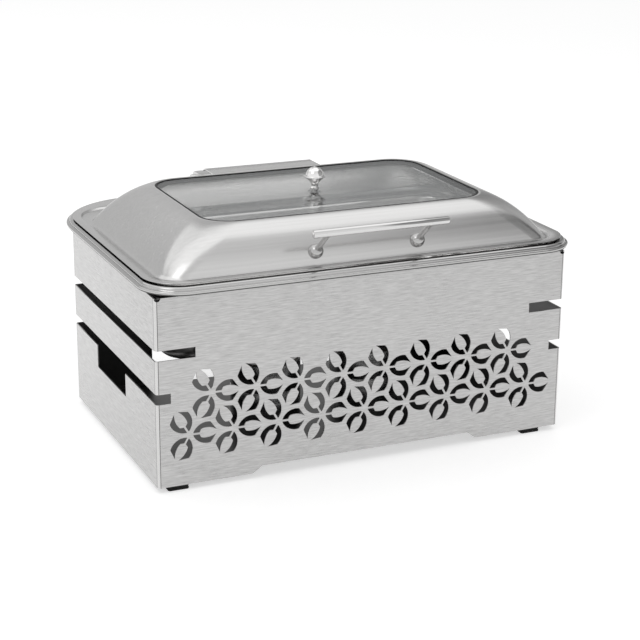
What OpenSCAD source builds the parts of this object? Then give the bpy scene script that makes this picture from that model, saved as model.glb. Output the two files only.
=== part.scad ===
// Full-size chafing dish: a hinged lid with a window over a food pan and a water pan, on a folded stand.
// The origin is on the surface under the feet, below the middle of the whole object.
// X runs right along the long front, Y runs to the back and Z runs up.

/* [Stand] */
// Distance from the food pan's rim to the stand's outside at each end
stand_over_x = 15; // [13:1:18]
// Distance from the food pan's rim to the stand's outside at the front and rear, as a mean of the two
stand_over_y = 11.5; // [10.5:0.5:14]
// Height of the stand's sheets
stand_h = 241.3; // [225:0.1:280]
// Thickness of the stand's sheet
sheet = 1.5; // [1:0.1:2]
// Outside radius of the stand's corner bends
bend_r = 4; // [3.5:0.5:6]
// Radius of the relief hole where the bend meets the top flange
relief_r = 4.2; // [4:0.1:5]
// Width of the flange folded in along the top
top_flange = 12; // [11:0.5:13]
// Width of the flange folded in along the bottom
foot_flange = 26; // [24:1:32]
// Length of each front foot, from the corner to the raised edge
front_foot = 124; // [100:1:150]
// Rise of the front sheet's bottom edge between its feet
front_rise = 8.8; // [5:0.1:14]
// Length of the slope at each end of the raised edge
rise_slope = 12; // [8:1:20]
// Width of each rear return, from the corner to the burner access
return_w = 108; // [100:1:118]
// Height of the burner access at the rear, above the sheet's bottom
access_h = 150; // [135:1:160]

/* [Slots] */
// Height of each long slot round the corners
slot_h = 13; // [8:1:16]
// Lower edge of the upper slot, above the sheet's bottom
upper_slot_z = 163; // [155:1:175]
// Run of the upper slot onto the front and rear sheets
upper_wrap = 50.8; // [40:0.1:60]
// Lower edge of the lower slot, above the sheet's bottom
lower_slot_z = 108; // [100:1:115]
// Run of the lower slot onto the front and rear sheets
lower_wrap = 18.6; // [12:0.1:25]
// Length of the hand notch under the lower slot at each end
hand_w = 121.5; // [100:0.5:140]
// Depth of the hand notch below the lower slot
hand_h = 30.6; // [24:0.1:36]
// Distance of the hand notch's middle behind the stand's middle
hand_back = 9.7; // [0:0.1:20]

/* [Lattice] */
// Distance between neighbouring flowers in a row
flower_pitch = 58.42; // [54:0.01:60]
// Height of the lower row's hubs above the sheet's bottom
flower_z = 64.5; // [60:0.1:80]
// Least width of plain sheet left at each end of the lower row
lattice_edge = 10; // [8:0.5:10.5]
// Offset of the rows from the stand's middle
flower_shift = -4.7; // [-8:0.1:4]
// Distance from a flower's hub to the near end of a petal
petal_root = 4.8; // [4:0.1:6]
// Distance from a flower's hub to the far end of a petal
petal_reach = 35.7; // [30:0.1:36]
// Width of the rib along the middle of a petal
petal_rib = 2.5; // [2:0.1:3.5]
// Radius of a petal's outer edge
petal_outer_r = 19.3; // [18:0.1:19.5]
// Radius of a petal's inner edge
petal_inner_r = 24; // [22:0.1:24.5]

/* [Feet] */
// Height of each rubber foot below the sheet
foot_h = 7; // [5:0.5:12]
// Width of a foot along the front
foot_w = 27; // [20:1:34]
// Width of a foot from front to back
foot_d = 23; // [18:1:23]
// Depth of the groove round each foot
foot_groove = 1; // [0.5:0.1:2]
// Height of the rib above and below the groove
foot_rib = 2.6; // [2:0.1:3]
// Distance of each left foot's middle from the stand's left end
foot_in_left = 27.5; // [24:0.5:50]
// Distance of each right foot's middle from the stand's right end
foot_in_right = 38.5; // [24:0.5:50]
// Distance of each foot's middle from the front or rear sheet
foot_in_y = 14; // [13.5:0.5:14]
// Radius of the screw in each foot
foot_screw_r = 2; // [1.5:0.1:2.5]

/* [Burner shelf] */
// Thickness of the burner shelf
shelf_t = 1.2; // [1:0.1:2]
// Height of the upturned lips along the shelf's front and behind the rear returns
shelf_lip = 7.5; // [4:0.5:12]
// Radius of the rivets that hold the shelf
rivet_r = 2; // [1.5:0.1:2.5]
// Distance between rivets along each end
rivet_pitch = 80; // [60:1:90]

/* [Fuel holders] */
// Distance between the middles of the two fuel holders
holder_gap = 144; // [130:1:150]
// Outside radius of a fuel holder
holder_r = 47; // [46:0.5:50]
// Height of a fuel holder without its rolled rim
holder_h = 86; // [80:1:96]
// Wall of a fuel holder
holder_wall = 1.2; // [0.8:0.1:2]
// Height of the holder's floor above the shelf
holder_floor = 22; // [10:1:24]
// Radius of the rolled rim's wire
holder_rim_r = 1.6; // [1:0.1:2.5]
// Radius of a fuel can
can_r = 43; // [40:0.5:44]
// Height of a fuel can
can_h = 62; // [50:1:63]
// Radius of the opening in a can's top
can_mouth_r = 14; // [8:0.5:20]
// Thickness of a snuffer disc
snuffer_t = 1.2; // [0.8:0.1:2]
// Radius of a snuffer's pivot pin
snuffer_pin_r = 2; // [1.5:0.1:2.5]
// Radius of the boss that carries the pivot pin
snuffer_boss_r = 5; // [4.5:0.1:6]
// Radius of the small grip on a snuffer
grip_r = 4; // [3:0.5:6]

/* [Pans] */
// Width of the full-size food pan over its rim, which the stand, the pans and the lid follow
food_w = 530; // [450:1:600]
// Depth of the full-size food pan over its rim, front to back, which they follow too
food_d = 325; // [290:1:370]
// Depth of the food pan below its rim
food_h = 65; // [40:1:75]
// Width of the food pan's rim
food_rim = 12.5; // [12:0.5:14]
// Distance of the pans' middle in front of the stand's middle
pan_forward = 5; // [4:0.5:6]
// Depth of the water pan below its seat
well_h = 91; // [80:1:100]
// Clearance between the food pan and the water pan's well
well_gap = 3.5; // [2.5:0.5:3.5]
// Thickness of the pans' sheet
pan_sheet = 1.2; // [0.8:0.1:1.5]
// Clearance between the raised ledge's step and the stand's outside at the ends
ledge_in = 5; // [4.5:0.5:6]
// Clearance between the raised ledge's step and the stand's outside at the front and rear
ledge_in_front = 3; // [2.5:0.5:4]
// Rise of the ledge above the stand's top
ledge_rise = 6.3; // [5:0.1:9]

/* [Pan rim] */
// Overhang of the rim beyond the stand's ends
rim_over_side = 12; // [10:0.5:16]
// Overhang of the rim beyond the stand's front
rim_over_front = 24; // [20:1:28]
// Overhang of the rim beyond the stand's rear
rim_over_rear = 88; // [84:1:96]
// Radius of the rim's front corners in plan
rim_r_front = 54; // [48:1:60]
// Radius of the rim's rear corners in plan
rim_r_rear = 120; // [112:1:124]
// Height of the rim above the ledge
rim_h = 9.2; // [8.6:0.1:11]
// Width of the rim's section
rim_w = 14; // [13:0.5:15]
// Radius of the rounded top edge
rim_roll_r = 4; // [3:0.1:4.4]
// Height of the bead along the lower edge
rim_bead = 3.8; // [3:0.1:4.2]
// Inset of the top edge behind the bead
rim_step = 4; // [3:0.1:5]

/* [Lid] */
// Thickness of the lid's sheet
lid_sheet = 1.2; // [0.8:0.1:1.5]
// Gap between the pan rim and the lid's flange
lid_gap = 1; // [0.8:0.1:2]
// Inset of the lid's flange from the rim's top edge at the ends
flange_in_side = 4; // [3:0.5:5]
// Inset of the lid's flange from the rim's top edge at the front
flange_in_front = 7; // [5:0.5:8]
// Inset of the lid's flange from the rim's top edge at the rear
flange_in_rear = 20; // [18:0.5:24]
// Width of the flat flange at the ends and the front
flange_w = 13; // [11:0.5:14]
// Width of the flat flange at the rear
flange_w_rear = 38; // [34:0.5:42]
// Depth of the shallow recess inside the flange
recess_h = 2.4; // [1.8:0.1:3]
// Inset of the dome's base from the food pan's rim at the ends
dome_in = 2; // [1:0.5:4]
// Overhang of the dome's base beyond the food pan's rim at the front and rear
dome_over = 1; // [-1:0.5:1.5]
// Height of the dome above the recess
dome_h = 54.2; // [46:0.1:70]
// Corner radius of the dome's base in plan
dome_base_r = 28; // [24:1:34]
// Extra corner radius half-way up the dome
dome_bulge = 6; // [0:1:26]
// Angle of the end walls at the base
dome_side_a = 58; // [50:1:75]
// Angle of the front and rear walls at the base
dome_front_a = 78; // [65:1:82]
// Angle of every wall where it meets the window frame
dome_top_a = 16; // [8:1:25]

/* [Window] */
// Distance from the dome's base to the window opening at the ends
window_in_side = 71; // [67:1:83]
// Distance from the dome's base to the window opening at the front and rear
window_in_front = 43.5; // [41.5:0.5:51]
// Corner radius of the window opening
window_r = 40; // [30:1:50]
// Width of the steel frame round the window
window_frame = 4.5; // [4:0.1:7]
// Depth of the lip that the glass is let into
window_lip = 5.3; // [5:0.1:8]
// Width of the ledge under the glass
window_ledge = 9; // [7:0.5:12]
// Thickness of the glass
glass_t = 3.7; // [3:0.1:4]
// Width of the gasket that shows round the glass
gasket_w = 3.6; // [2.5:0.1:4.5]
// Thickness of the gasket under the glass
gasket_pad = 0.8; // [0.6:0.1:1]

/* [Knob and handle] */
// Radius of the knob's thin brim
knob_r = 14; // [13:0.5:18]
// Height of the brim above the glass
knob_brim_z = 16.5; // [14:0.5:20]
// Radius of the knob's round top
knob_top_r = 10.5; // [9:0.5:12]
// Radius of the knob's foot on the glass
knob_foot_r = 6; // [5:0.5:8]
// Distance of the knob behind the middle of the window
knob_back = 4; // [0:0.5:10]
// Radius of the stud through the glass
stud_r = 3; // [2:0.1:3.5]
// Half the length of the handle bar
bar_half = 90.5; // [80:0.5:110]
// Radius of the handle bar
bar_r = 5; // [4.5:0.5:8]
// Distance of the bar's axis in front of the stand's front
bar_out = 31; // [26:1:36]
// Distance of the bar's axis below the top of the lid
bar_drop = 3.5; // [0:0.5:8]
// Distance of each handle post from the middle
post_x = 69; // [60:1:75]
// Radius of the ball at the foot of each post
ball_r = 9.5; // [8:0.5:11]
// Height of the balls above the lid's recess
ball_z = 17.2; // [14:0.1:22]
// Radius of each post's stem
stem_r = 3.2; // [2.8:0.1:4]
// Radius of the screw that holds each post
post_screw_r = 2; // [1.5:0.1:2.5]

/* [Hinge] */
// Distance of the hinge axis in front of the pan rim's rear edge
hinge_in = 26; // [25:0.5:28]
// Height of the hinge axis above the pan rim
hinge_up = 16; // [15:0.5:18]
// Radius of the hinge pin
pin_r = 4; // [3:0.1:5]
// Running clearance of the pin in the arms, on the radius
pin_fit = 0.05; // [0.02:0.01:0.08]
// Half the width of the fixed housing
housing_half = 78; // [70:1:78]
// Reach of the housing in front of the axis
housing_front = 14; // [13:0.5:15]
// Reach of the housing behind the axis
housing_rear = 22; // [18:0.5:23]
// Reach of the housing above the axis
housing_top = 13; // [12.5:0.5:14]
// Length of the block at each end of the housing
block_w = 16; // [10:1:24]
// Radius of the bore for the springs
spring_bore_r = 9.5; // [9:0.1:10]
// Outside radius of each torsion spring
spring_r = 8.4; // [7:0.1:8.6]
// Thickness of each hinge arm
arm_t = 6; // [4:0.5:6]
// Gap between an arm and the fixed housing
arm_gap = 3; // [2:0.5:4]
// Radius of the arm round the pin
arm_eye_r = 11.5; // [10:0.5:12]
// Height of the arms above the hinge axis
arm_top = 18; // [16:0.5:24]
// Height of the cover between the arms above the hinge axis
cover_top = 27; // [26:0.5:32]
// Length of the arms' and cover's level top
arm_level = 37; // [30:1:40]
// Distance from the hinge axis to the rear end of the level top
arm_fall = 36; // [34:1:40]
// Thickness of the hinge cover's sheet
cover_t = 1.5; // [1:0.1:2]
// Gap between the cover's ends and the arms
cover_gap = 1; // [0.5:0.1:2]

/* [Hidden] */
$fn = 64;

// How far every cut runs past the face that it opens
over = 1;
// Gap that parts of different bodies keep where they rest
rest_gap = 0.3;
// Slack between a shelf edge and the sheet beside it
shelf_slack = 1;

// The stand is built round the food pan
stand_w = food_w + 2 * stand_over_x;
stand_d = food_d + 2 * stand_over_y;

// Middle of the stand, so that the handle's front and the rim's rear are as far from the origin
stand_y = (bar_out + bar_r - rim_over_rear) / 2;
front_y = stand_y - stand_d / 2;
rear_y = stand_y + stand_d / 2;
pan_y = stand_y - pan_forward;
sheet_z0 = foot_h;
sheet_z1 = foot_h + stand_h;
flat_x = stand_w / 2 - bend_r;
foot_x = stand_w / 2 - front_foot;
access_x = stand_w / 2 - return_w;

// Petal outline, in the petal's own frame with its axis along X
petal_outer_x = 22.5;
petal_outer_drop = 5.3;
petal_inner_x = 21.5;
petal_inner_drop = 17.5;
petal_half = 16;
petal_tip_lean = 10.5;
petal_fork_x = 11.9;
petal_fork_lean = 9;
petals = 3;
row_rise = flower_pitch * sqrt(3) / 2;
// Number of flowers in the lower row, as many as the front has room for
flowers = floor((stand_w - 2 * (lattice_edge + petal_reach)) / flower_pitch) + 1;

// Shelf and what stands on it
shelf_z = sheet_z0 + sheet;
shelf_top = shelf_z + shelf_t;
rivet_head_r = 2 * rivet_r;
rivet_head_h = 1.2;
foot_screw_head_r = 2.2 * foot_screw_r;
foot_screw_head_h = 2;
foot_screw_bite = 4;
holder_x = holder_gap / 2;
can_z = shelf_top + holder_floor + holder_wall;
can_mouth_h = 3;
boss_y = holder_r + snuffer_boss_r + holder_rim_r;
boss_h = 24;
boss_rib = 4;
boss_bite = 2;
pin_depth = 16;
snuffer_fit = 0.05;
snuffer_z = shelf_top + holder_h + holder_rim_r + rest_gap;
snuffer_r = holder_r - 2 * holder_rim_r;
grip_h = 7;
arm_half = 4;

// Pans
well_w = food_w - 2 * food_rim + 2 * well_gap;
well_d = food_d - 2 * food_rim + 2 * well_gap;
food_edge_h = 3.2;
food_r = 22;
food_body_r = 36;
well_r = food_body_r + well_gap;
seat_z = sheet_z1;
ledge_z = sheet_z1 + ledge_rise;
ledge_top = ledge_z + pan_sheet;
rim_top = ledge_top + rim_h;
step_r = 14;
lip = [stand_w / 2 + rim_over_side, front_y - rim_over_front, rear_y + rim_over_rear,
       rim_r_front, rim_r_rear];
step_line = [stand_w / 2 - ledge_in, front_y + ledge_in_front, rear_y - ledge_in_front, step_r, step_r];
// How far the ledge's edge stays behind the rim's rounded edge
ledge_short = 1;
ledge_edge = inset(lip, rim_step + ledge_short);

// Lid, from the pan rim up
rim_edge = inset(lip, rim_step);
flange_r_front = 46;
flange_r_rear = 98;
recess_r_front = 36;
recess_r_rear = 48;
recess_slope = 1.5;
flange = [rim_edge[0] - flange_in_side, rim_edge[1] + flange_in_front, rim_edge[2] - flange_in_rear,
          flange_r_front, flange_r_rear];
recess = [flange[0] - flange_w, flange[1] + flange_w, flange[2] - flange_w_rear,
          recess_r_front, recess_r_rear];
flange_z0 = rim_top + lid_gap;
flange_z1 = flange_z0 + lid_sheet;
recess_z = flange_z1 - recess_h;
dome_z = recess_z + dome_h;
dome_base = [food_w / 2 - dome_in, pan_y - food_d / 2 - dome_over, pan_y + food_d / 2 + dome_over,
             dome_base_r, dome_base_r];
window = [dome_base[0] - window_in_side, dome_base[1] + window_in_front, dome_base[2] - window_in_front,
          window_r, window_r];
dome_edge = inset(window, -window_frame);
// Inward lean of the dome's inner skin at its top, which keeps the sheet's wall even
inner_share = 0.4;
dome_height_shares = [0, 0.05, 0.12, 0.2, 0.3, 0.4, 0.5, 0.6, 0.7, 0.79, 0.87, 0.94, 1];
corner_steps = 10;
glass_z = dome_z - window_lip + gasket_pad;
glass_top = glass_z + glass_t;
// Gap between the opening and the gasket, and between the gasket and the glass
seal_gap = 0.1;
bumper_r = 3;
bumper_x = lip[0] - rim_w + bumper_r;
bumper_y = 110;

// Knob and handle
knob_y = pan_y + knob_back;
knob_neck_r = 4.5;
knob_neck_z = 4;
knob_brim_t = 1.2;
knob_dot_r = 1.2;
knob_dot_h = 0.8;
stud_clear = 0.5;
washer_r = 9;
washer_h = 1;
nut_r = 5.5;
nut_h = 5;
bar_z = dome_z - bar_drop;
bar_y = front_y - bar_out;
bar_edge = 1.5;
ball_wall_z = recess_z + ball_z;
ball_y = wall_y(ball_wall_z) - rest_gap;
stem_run = norm([bar_y - ball_y, bar_z - ball_wall_z]);
stem_a = atan2(ball_y - bar_y, bar_z - ball_wall_z);
// Lean of the front wall behind the balls, from the vertical
wall_a = atan2(wall_y(ball_wall_z + over) - wall_y(ball_wall_z - over), 2 * over);
post_screw_bite = 6;
post_head_r = 4.5;
post_head_h = 2.5;
post_clear = 0.3;

// Hinge
axis_y = lip[2] - hinge_in;
axis_z = rim_top + hinge_up;
housing_low_rear = hinge_in - rim_w - rest_gap;
housing_round = 10;
arm_x0 = housing_half + arm_gap;
arm_x1 = arm_x0 + arm_t;
notch_gap = 1;
notch_in = 10;
notch_y = axis_y - arm_fall + notch_in;
arm_seat = notch_y - notch_gap - axis_y;
recess_front = flange[2] - flange_w_rear - axis_y;
// Front end of the arms and the cover, from the axis
arm_front = -arm_fall - arm_level;
pin_head_r = 6;
pin_head_h = 1.5;
spring_end = 2;
spring_mid = 3;
spring_inner_r = 5.6;
cover_half = arm_x0 - cover_gap;
cover_foot = 21;
cover_fall = 12;
cover_fall_z = 5;
cover_screw_x = 50;
cover_screw_in = 12;
small_screw_r = 2;
screw_clear = 0.1;
small_head_r = 3.6;
small_head_h = 2;
arm_screw_in = 6;
arm_screw_pitch = 24;
arm_screw_bite = 10;
housing_screw_r = 2.5;
housing_head_r = 5;
housing_head_h = 3;
housing_screw_bite = 8;
housing_screw_x = 45;

function inset(o, d) = [o[0] - d, o[1] + d, o[2] - d, o[3] - d, o[4] - d];

// Share of a wall's run that lies inside height share s, for a curve from angle a to the top angle
function run_share(s, a) =
    let (c = cos(a) + s * (cos(dome_top_a) - cos(a)))
    (sin(a) - sqrt(1 - c * c)) / (sin(a) - sin(dome_top_a));

// Outline of the dome at height share s
function dome_at(s) =
    let (side = run_share(s, dome_side_a), front = run_share(s, dome_front_a))
    let (r = dome_base_r + (dome_edge[3] - dome_base_r) * s + dome_bulge * sin(180 * s))
    [dome_base[0] + (dome_edge[0] - dome_base[0]) * side,
     dome_base[1] + (dome_edge[1] - dome_base[1]) * front,
     dome_base[2] + (dome_edge[2] - dome_base[2]) * front, r, r];

// Where the dome's front wall lies at height z
function wall_y(z) = dome_at((z - recess_z) / dome_h)[1];

// One closed loop of points round outline o at height z
function ring(o, z) =
    concat(corner(o[0] - o[4], o[2] - o[4], o[4], 0, z), corner(o[4] - o[0], o[2] - o[4], o[4], 90, z),
           corner(o[3] - o[0], o[1] + o[3], o[3], 180, z), corner(o[0] - o[3], o[1] + o[3], o[3], 270, z));
function corner(x, y, r, a, z) =
    [for (i = [0:corner_steps]) let (t = a + 90 * i / corner_steps) [x + r * cos(t), y + r * sin(t), z]];

// Flat shape with straight sides and round corners, wider radii allowed at the rear
module outline(o) {
    translate([-o[0], o[1] + o[3]]) square([2 * o[0], o[2] - o[1] - o[3] - o[4]]);
    translate([o[3] - o[0], o[1]]) square([2 * (o[0] - o[3]), o[3]]);
    translate([o[4] - o[0], o[2] - o[4]]) square([2 * (o[0] - o[4]), o[4]]);
    for (s = [-1, 1]) {
        translate([s * (o[0] - o[3]), o[1] + o[3]]) circle(o[3]);
        translate([s * (o[0] - o[4]), o[2] - o[4]]) circle(o[4]);
    }
}

// Slab of outline o from height z, h high
module slab(o, z, h) {
    translate([0, 0, z]) linear_extrude(h) outline(o);
}

// The section drawn by the child, carried round outline o
module moulding(o) {
    side = o[2] - o[4] - o[1] - o[3];
    for (m = [0, 1]) mirror([m, 0, 0]) {
        translate([o[0], o[2] - o[4], 0]) rotate([90, 0, 0]) linear_extrude(side) children();
        translate([o[0] - o[4], o[2] - o[4], 0]) rotate_extrude(angle = 90) translate([o[4], 0]) children();
        translate([o[0] - o[3], o[1] + o[3], 0]) rotate([0, 0, -90])
            rotate_extrude(angle = 90) translate([o[3], 0]) children();
    }
    translate([o[4] - o[0], o[2], 0]) rotate([90, 0, 90]) linear_extrude(2 * (o[0] - o[4])) children();
    translate([o[0] - o[3], o[1], 0]) rotate([90, 0, -90]) linear_extrude(2 * (o[0] - o[3])) children();
}

// Upright screw or rivet with its head down at height z
module bolt(x, y, z, head_r, head_h, r, length) {
    translate([x, y, z - head_h]) cylinder(h = head_h, r = head_r);
    translate([x, y, z - head_h]) cylinder(h = head_h + length, r = r);
}

// Half of one petal, above its rib
module half_petal() {
    rib = petal_rib / 2;
    difference() {
        intersection() {
            translate([petal_outer_x, -petal_outer_drop]) circle(petal_outer_r);
            polygon([[petal_root, rib], [petal_reach, rib], [petal_reach - petal_tip_lean, petal_half],
                     [petal_root, petal_half]]);
        }
        intersection() {
            translate([petal_inner_x, -petal_inner_drop]) circle(petal_inner_r);
            polygon([[petal_fork_x, rib - over], [petal_reach + over, rib - over],
                     [petal_reach + over, petal_half], [petal_fork_x + petal_fork_lean, petal_half]]);
        }
    }
}

// Three petals round one hub
module flower() {
    for (i = [0:petals - 1]) rotate(i * 360 / petals) {
        half_petal();
        mirror([0, 1]) half_petal();
    }
}

// Slots round a corner at the stand's right end, as seen from the front
module slots() {
    translate([stand_w / 2 - upper_wrap, upper_slot_z]) square([upper_wrap + over, slot_h]);
    translate([stand_w / 2 - lower_wrap, lower_slot_z]) square([lower_wrap + over, slot_h]);
}

module foot_places() {
    for (x = [foot_in_left - stand_w / 2, stand_w / 2 - foot_in_right],
         y = [front_y + foot_in_y, rear_y - foot_in_y])
        translate([x, y, 0]) children();
}

module rivet_places() {
    for (x = [-1, 1], i = [-1:1])
        translate([x * (stand_w / 2 - foot_flange / 2), stand_y + i * rivet_pitch, 0]) children();
}

// Holes through the bottom flanges and the shelf for the feet's screws and the rivets
module floor_holes() {
    foot_places() translate([0, 0, -over]) cylinder(h = shelf_top + 2 * over, r = foot_screw_r);
    rivet_places() translate([0, 0, -over]) cylinder(h = shelf_top + 2 * over, r = rivet_r);
}

module relief_holes() {
    for (s = [-1, 1])
        translate([s * flat_x, front_y + bend_r, sheet_z1]) rotate([90, 0, 0])
            cylinder(h = bend_r + over, r = relief_r);
}

module front_panel() color("silver") difference() {
    union() {
        translate([0, front_y + sheet, sheet_z0]) rotate([90, 0, 0]) linear_extrude(sheet) difference() {
            polygon([[-flat_x, 0], [-foot_x, 0], [rise_slope - foot_x, front_rise],
                     [foot_x - rise_slope, front_rise], [foot_x, 0], [flat_x, 0],
                     [flat_x, stand_h], [-flat_x, stand_h]]);
            for (m = [0, 1]) mirror([m, 0]) slots();
            for (row = [0, 1], i = [0:flowers - 1 - row])
                translate([flower_shift + (i - (flowers - 1 - row) / 2) * flower_pitch,
                           flower_z + row * row_rise]) flower();
        }
        translate([-flat_x, front_y + sheet, sheet_z1 - sheet])
            cube([2 * flat_x, top_flange - sheet, sheet]);
        for (m = [0, 1]) mirror([m, 0, 0])
            translate([foot_x, front_y + sheet, sheet_z0])
                cube([flat_x - foot_x, foot_flange - sheet, sheet]);
    }
    relief_holes();
    floor_holes();
}

// End sheet with its corner bends, rear return and flanges, at the right end
module side_sheet() difference() {
    union() {
        translate([stand_w / 2 - sheet, front_y + bend_r, sheet_z0])
            cube([sheet, stand_d - 2 * bend_r, stand_h]);
        translate([flat_x, front_y + bend_r, sheet_z0]) rotate([0, 0, -90])
            rotate_extrude(angle = 90) translate([bend_r - sheet, 0]) square([sheet, stand_h]);
        translate([flat_x, rear_y - bend_r, sheet_z0])
            rotate_extrude(angle = 90) translate([bend_r - sheet, 0]) square([sheet, stand_h]);
        translate([access_x, rear_y - sheet, sheet_z0]) cube([flat_x - access_x, sheet, stand_h]);
        translate([stand_w / 2 - top_flange, front_y + top_flange, sheet_z1 - sheet])
            cube([top_flange - sheet, stand_d - top_flange - sheet, sheet]);
        translate([access_x, rear_y - top_flange, sheet_z1 - sheet])
            cube([return_w - top_flange, top_flange - sheet, sheet]);
        translate([stand_w / 2 - foot_flange, front_y + foot_flange, sheet_z0])
            cube([foot_flange - sheet, stand_d - foot_flange - sheet, sheet]);
        translate([access_x, rear_y - foot_flange, sheet_z0])
            cube([return_w - foot_flange, foot_flange - sheet, sheet]);
    }
    translate([0, rear_y + over, sheet_z0]) rotate([90, 0, 0]) linear_extrude(stand_d + 2 * over) slots();
    translate([stand_w / 2 - bend_r, stand_y + hand_back - hand_w / 2, sheet_z0 + lower_slot_z - hand_h])
        cube([bend_r + over, hand_w, hand_h + over]);
    relief_holes();
}

module left_side() color("silver") difference() {
    mirror([1, 0, 0]) side_sheet();
    floor_holes();
}

module right_side() color("silver") difference() {
    side_sheet();
    floor_holes();
}

// Sheet across the rear, above the burner access
module rear_panel() color("silver") {
    translate([-access_x, rear_y - sheet, sheet_z0 + access_h])
        cube([2 * access_x, sheet, stand_h - access_h]);
    translate([-access_x, rear_y - top_flange, sheet_z1 - sheet])
        cube([2 * access_x, top_flange - sheet, sheet]);
}

// Shelf with a lip along the front, and lips at the rear beside the access, which stays open
module burner_shelf() color("dimgray") difference() {
    half = stand_w / 2 - sheet - shelf_slack;
    depth = stand_d - 2 * (sheet + shelf_slack);
    union() {
        translate([-half, stand_y - depth / 2, shelf_z]) cube([2 * half, depth, shelf_t]);
        translate([-half, stand_y - depth / 2, shelf_z]) cube([2 * half, shelf_t, shelf_lip]);
        for (m = [0, 1]) mirror([m, 0, 0])
            translate([access_x, stand_y + depth / 2 - shelf_t, shelf_z])
                cube([half - access_x, shelf_t, shelf_lip]);
    }
    floor_holes();
}

module shelf_rivets() color("silver") rivet_places() {
    translate([0, 0, sheet_z0 - rivet_head_h]) cylinder(h = rivet_head_h, r = rivet_head_r);
    translate([0, 0, sheet_z0 - rivet_head_h]) cylinder(h = shelf_top - sheet_z0 + rivet_head_h, r = rivet_r);
    translate([0, 0, shelf_top]) cylinder(h = rivet_head_h, r = rivet_head_r);
}

// Oblong feet with a groove round them
module rubber_feet() color("black") foot_places() difference() {
    union() {
        for (z = [0, foot_h - foot_rib])
            translate([-foot_w / 2, -foot_d / 2, z]) cube([foot_w, foot_d, foot_rib]);
        translate([foot_groove - foot_w / 2, foot_groove - foot_d / 2, 0])
            cube([foot_w - 2 * foot_groove, foot_d - 2 * foot_groove, foot_h]);
    }
    translate([0, 0, foot_h - foot_screw_bite]) cylinder(h = foot_screw_bite + over, r = foot_screw_r);
}

module foot_screws() color("silver") foot_places() {
    translate([0, 0, foot_h - foot_screw_bite])
        cylinder(h = shelf_top - foot_h + foot_screw_bite, r = foot_screw_r);
    translate([0, 0, shelf_top]) cylinder(h = foot_screw_head_h, r = foot_screw_head_r);
}

// Cup with a raised floor, a rolled rim and a boss for the snuffer's pin
module fuel_holder() difference() {
    union() {
        cylinder(h = holder_h, r = holder_r);
        translate([0, 0, holder_h]) rotate_extrude()
            translate([holder_r - holder_rim_r, 0]) circle(holder_rim_r);
        translate([0, boss_y, holder_h - boss_h]) cylinder(h = boss_h, r = snuffer_boss_r);
        translate([-boss_rib / 2, holder_r - boss_bite / 2, holder_h - boss_h])
            cube([boss_rib, boss_y - holder_r, boss_h - boss_bite]);
    }
    translate([0, 0, holder_floor + holder_wall])
        cylinder(h = holder_h + over, r = holder_r - holder_wall - holder_rim_r);
    translate([0, 0, -over]) cylinder(h = holder_floor + over, r = holder_r - holder_wall);
    translate([0, boss_y, holder_h - pin_depth - over])
        cylinder(h = pin_depth + 2 * over, r = snuffer_pin_r + snuffer_fit);
}

module fuel_holder_left() color("gray") translate([-holder_x, pan_y, shelf_top]) fuel_holder();

module fuel_holder_right() color("gray") translate([holder_x, pan_y, shelf_top]) fuel_holder();

module fuel_can() difference() {
    cylinder(h = can_h, r = can_r);
    translate([0, 0, can_h - can_mouth_h]) cylinder(h = can_mouth_h + over, r = can_mouth_r);
}

module fuel_can_left() color("gold") translate([-holder_x, pan_y, can_z]) fuel_can();

module fuel_can_right() color("gold") translate([holder_x, pan_y, can_z]) fuel_can();

// Flat disc over the cup, with its arm, pivot pin and grip
module snuffer() {
    cylinder(h = snuffer_t, r = snuffer_r);
    translate([-arm_half, 0, 0]) cube([2 * arm_half, boss_y, snuffer_t]);
    translate([0, boss_y, 0]) cylinder(h = snuffer_t, r = snuffer_boss_r);
    translate([0, boss_y, -pin_depth]) cylinder(h = pin_depth + snuffer_t, r = snuffer_pin_r);
    translate([0, -holder_r / 2, 0]) cylinder(h = grip_h, r = grip_r);
}

module snuffer_left() color("lightgray") translate([-holder_x, pan_y, snuffer_z]) snuffer();

module snuffer_right() color("lightgray") translate([holder_x, pan_y, snuffer_z]) snuffer();

// Well, seat on the stand, step up and wide ledge, pressed in one sheet
module water_pan() color("silver") {
    well = [well_w / 2, pan_y - well_d / 2, pan_y + well_d / 2, well_r, well_r];
    difference() {
        slab(inset(well, -pan_sheet), seat_z - well_h, well_h + pan_sheet);
        slab(well, seat_z - well_h + pan_sheet, well_h + over);
    }
    difference() {
        slab(step_line, seat_z, pan_sheet);
        slab(well, seat_z - over, pan_sheet + 2 * over);
    }
    difference() {
        slab(step_line, seat_z, ledge_rise + pan_sheet);
        slab(inset(step_line, pan_sheet), seat_z - over, ledge_rise + pan_sheet + 2 * over);
    }
    difference() {
        slab(ledge_edge, ledge_z, pan_sheet);
        slab(inset(step_line, pan_sheet), ledge_z - over, pan_sheet + 2 * over);
        housing_screw_places() cylinder(h = ledge_top + over, r = housing_screw_r);
    }
}

// Section of the rim, with its outer edge on the Y axis
module rim_section() {
    translate([-rim_w, 0]) square([rim_w - rim_step - rim_roll_r, rim_h]);
    translate([-rim_step - rim_roll_r, rim_h - rim_roll_r]) circle(rim_roll_r);
    translate([-rim_w, 0]) square([rim_w - rim_bead / 2, rim_bead]);
    translate([-rim_bead / 2, rim_bead / 2]) circle(rim_bead / 2);
    translate([-rim_step - rim_roll_r - over, 0]) square([rim_roll_r, rim_h - rim_roll_r]);
}

module pan_rim() color("gainsboro") translate([0, 0, ledge_top]) moulding(lip) rim_section();

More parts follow.
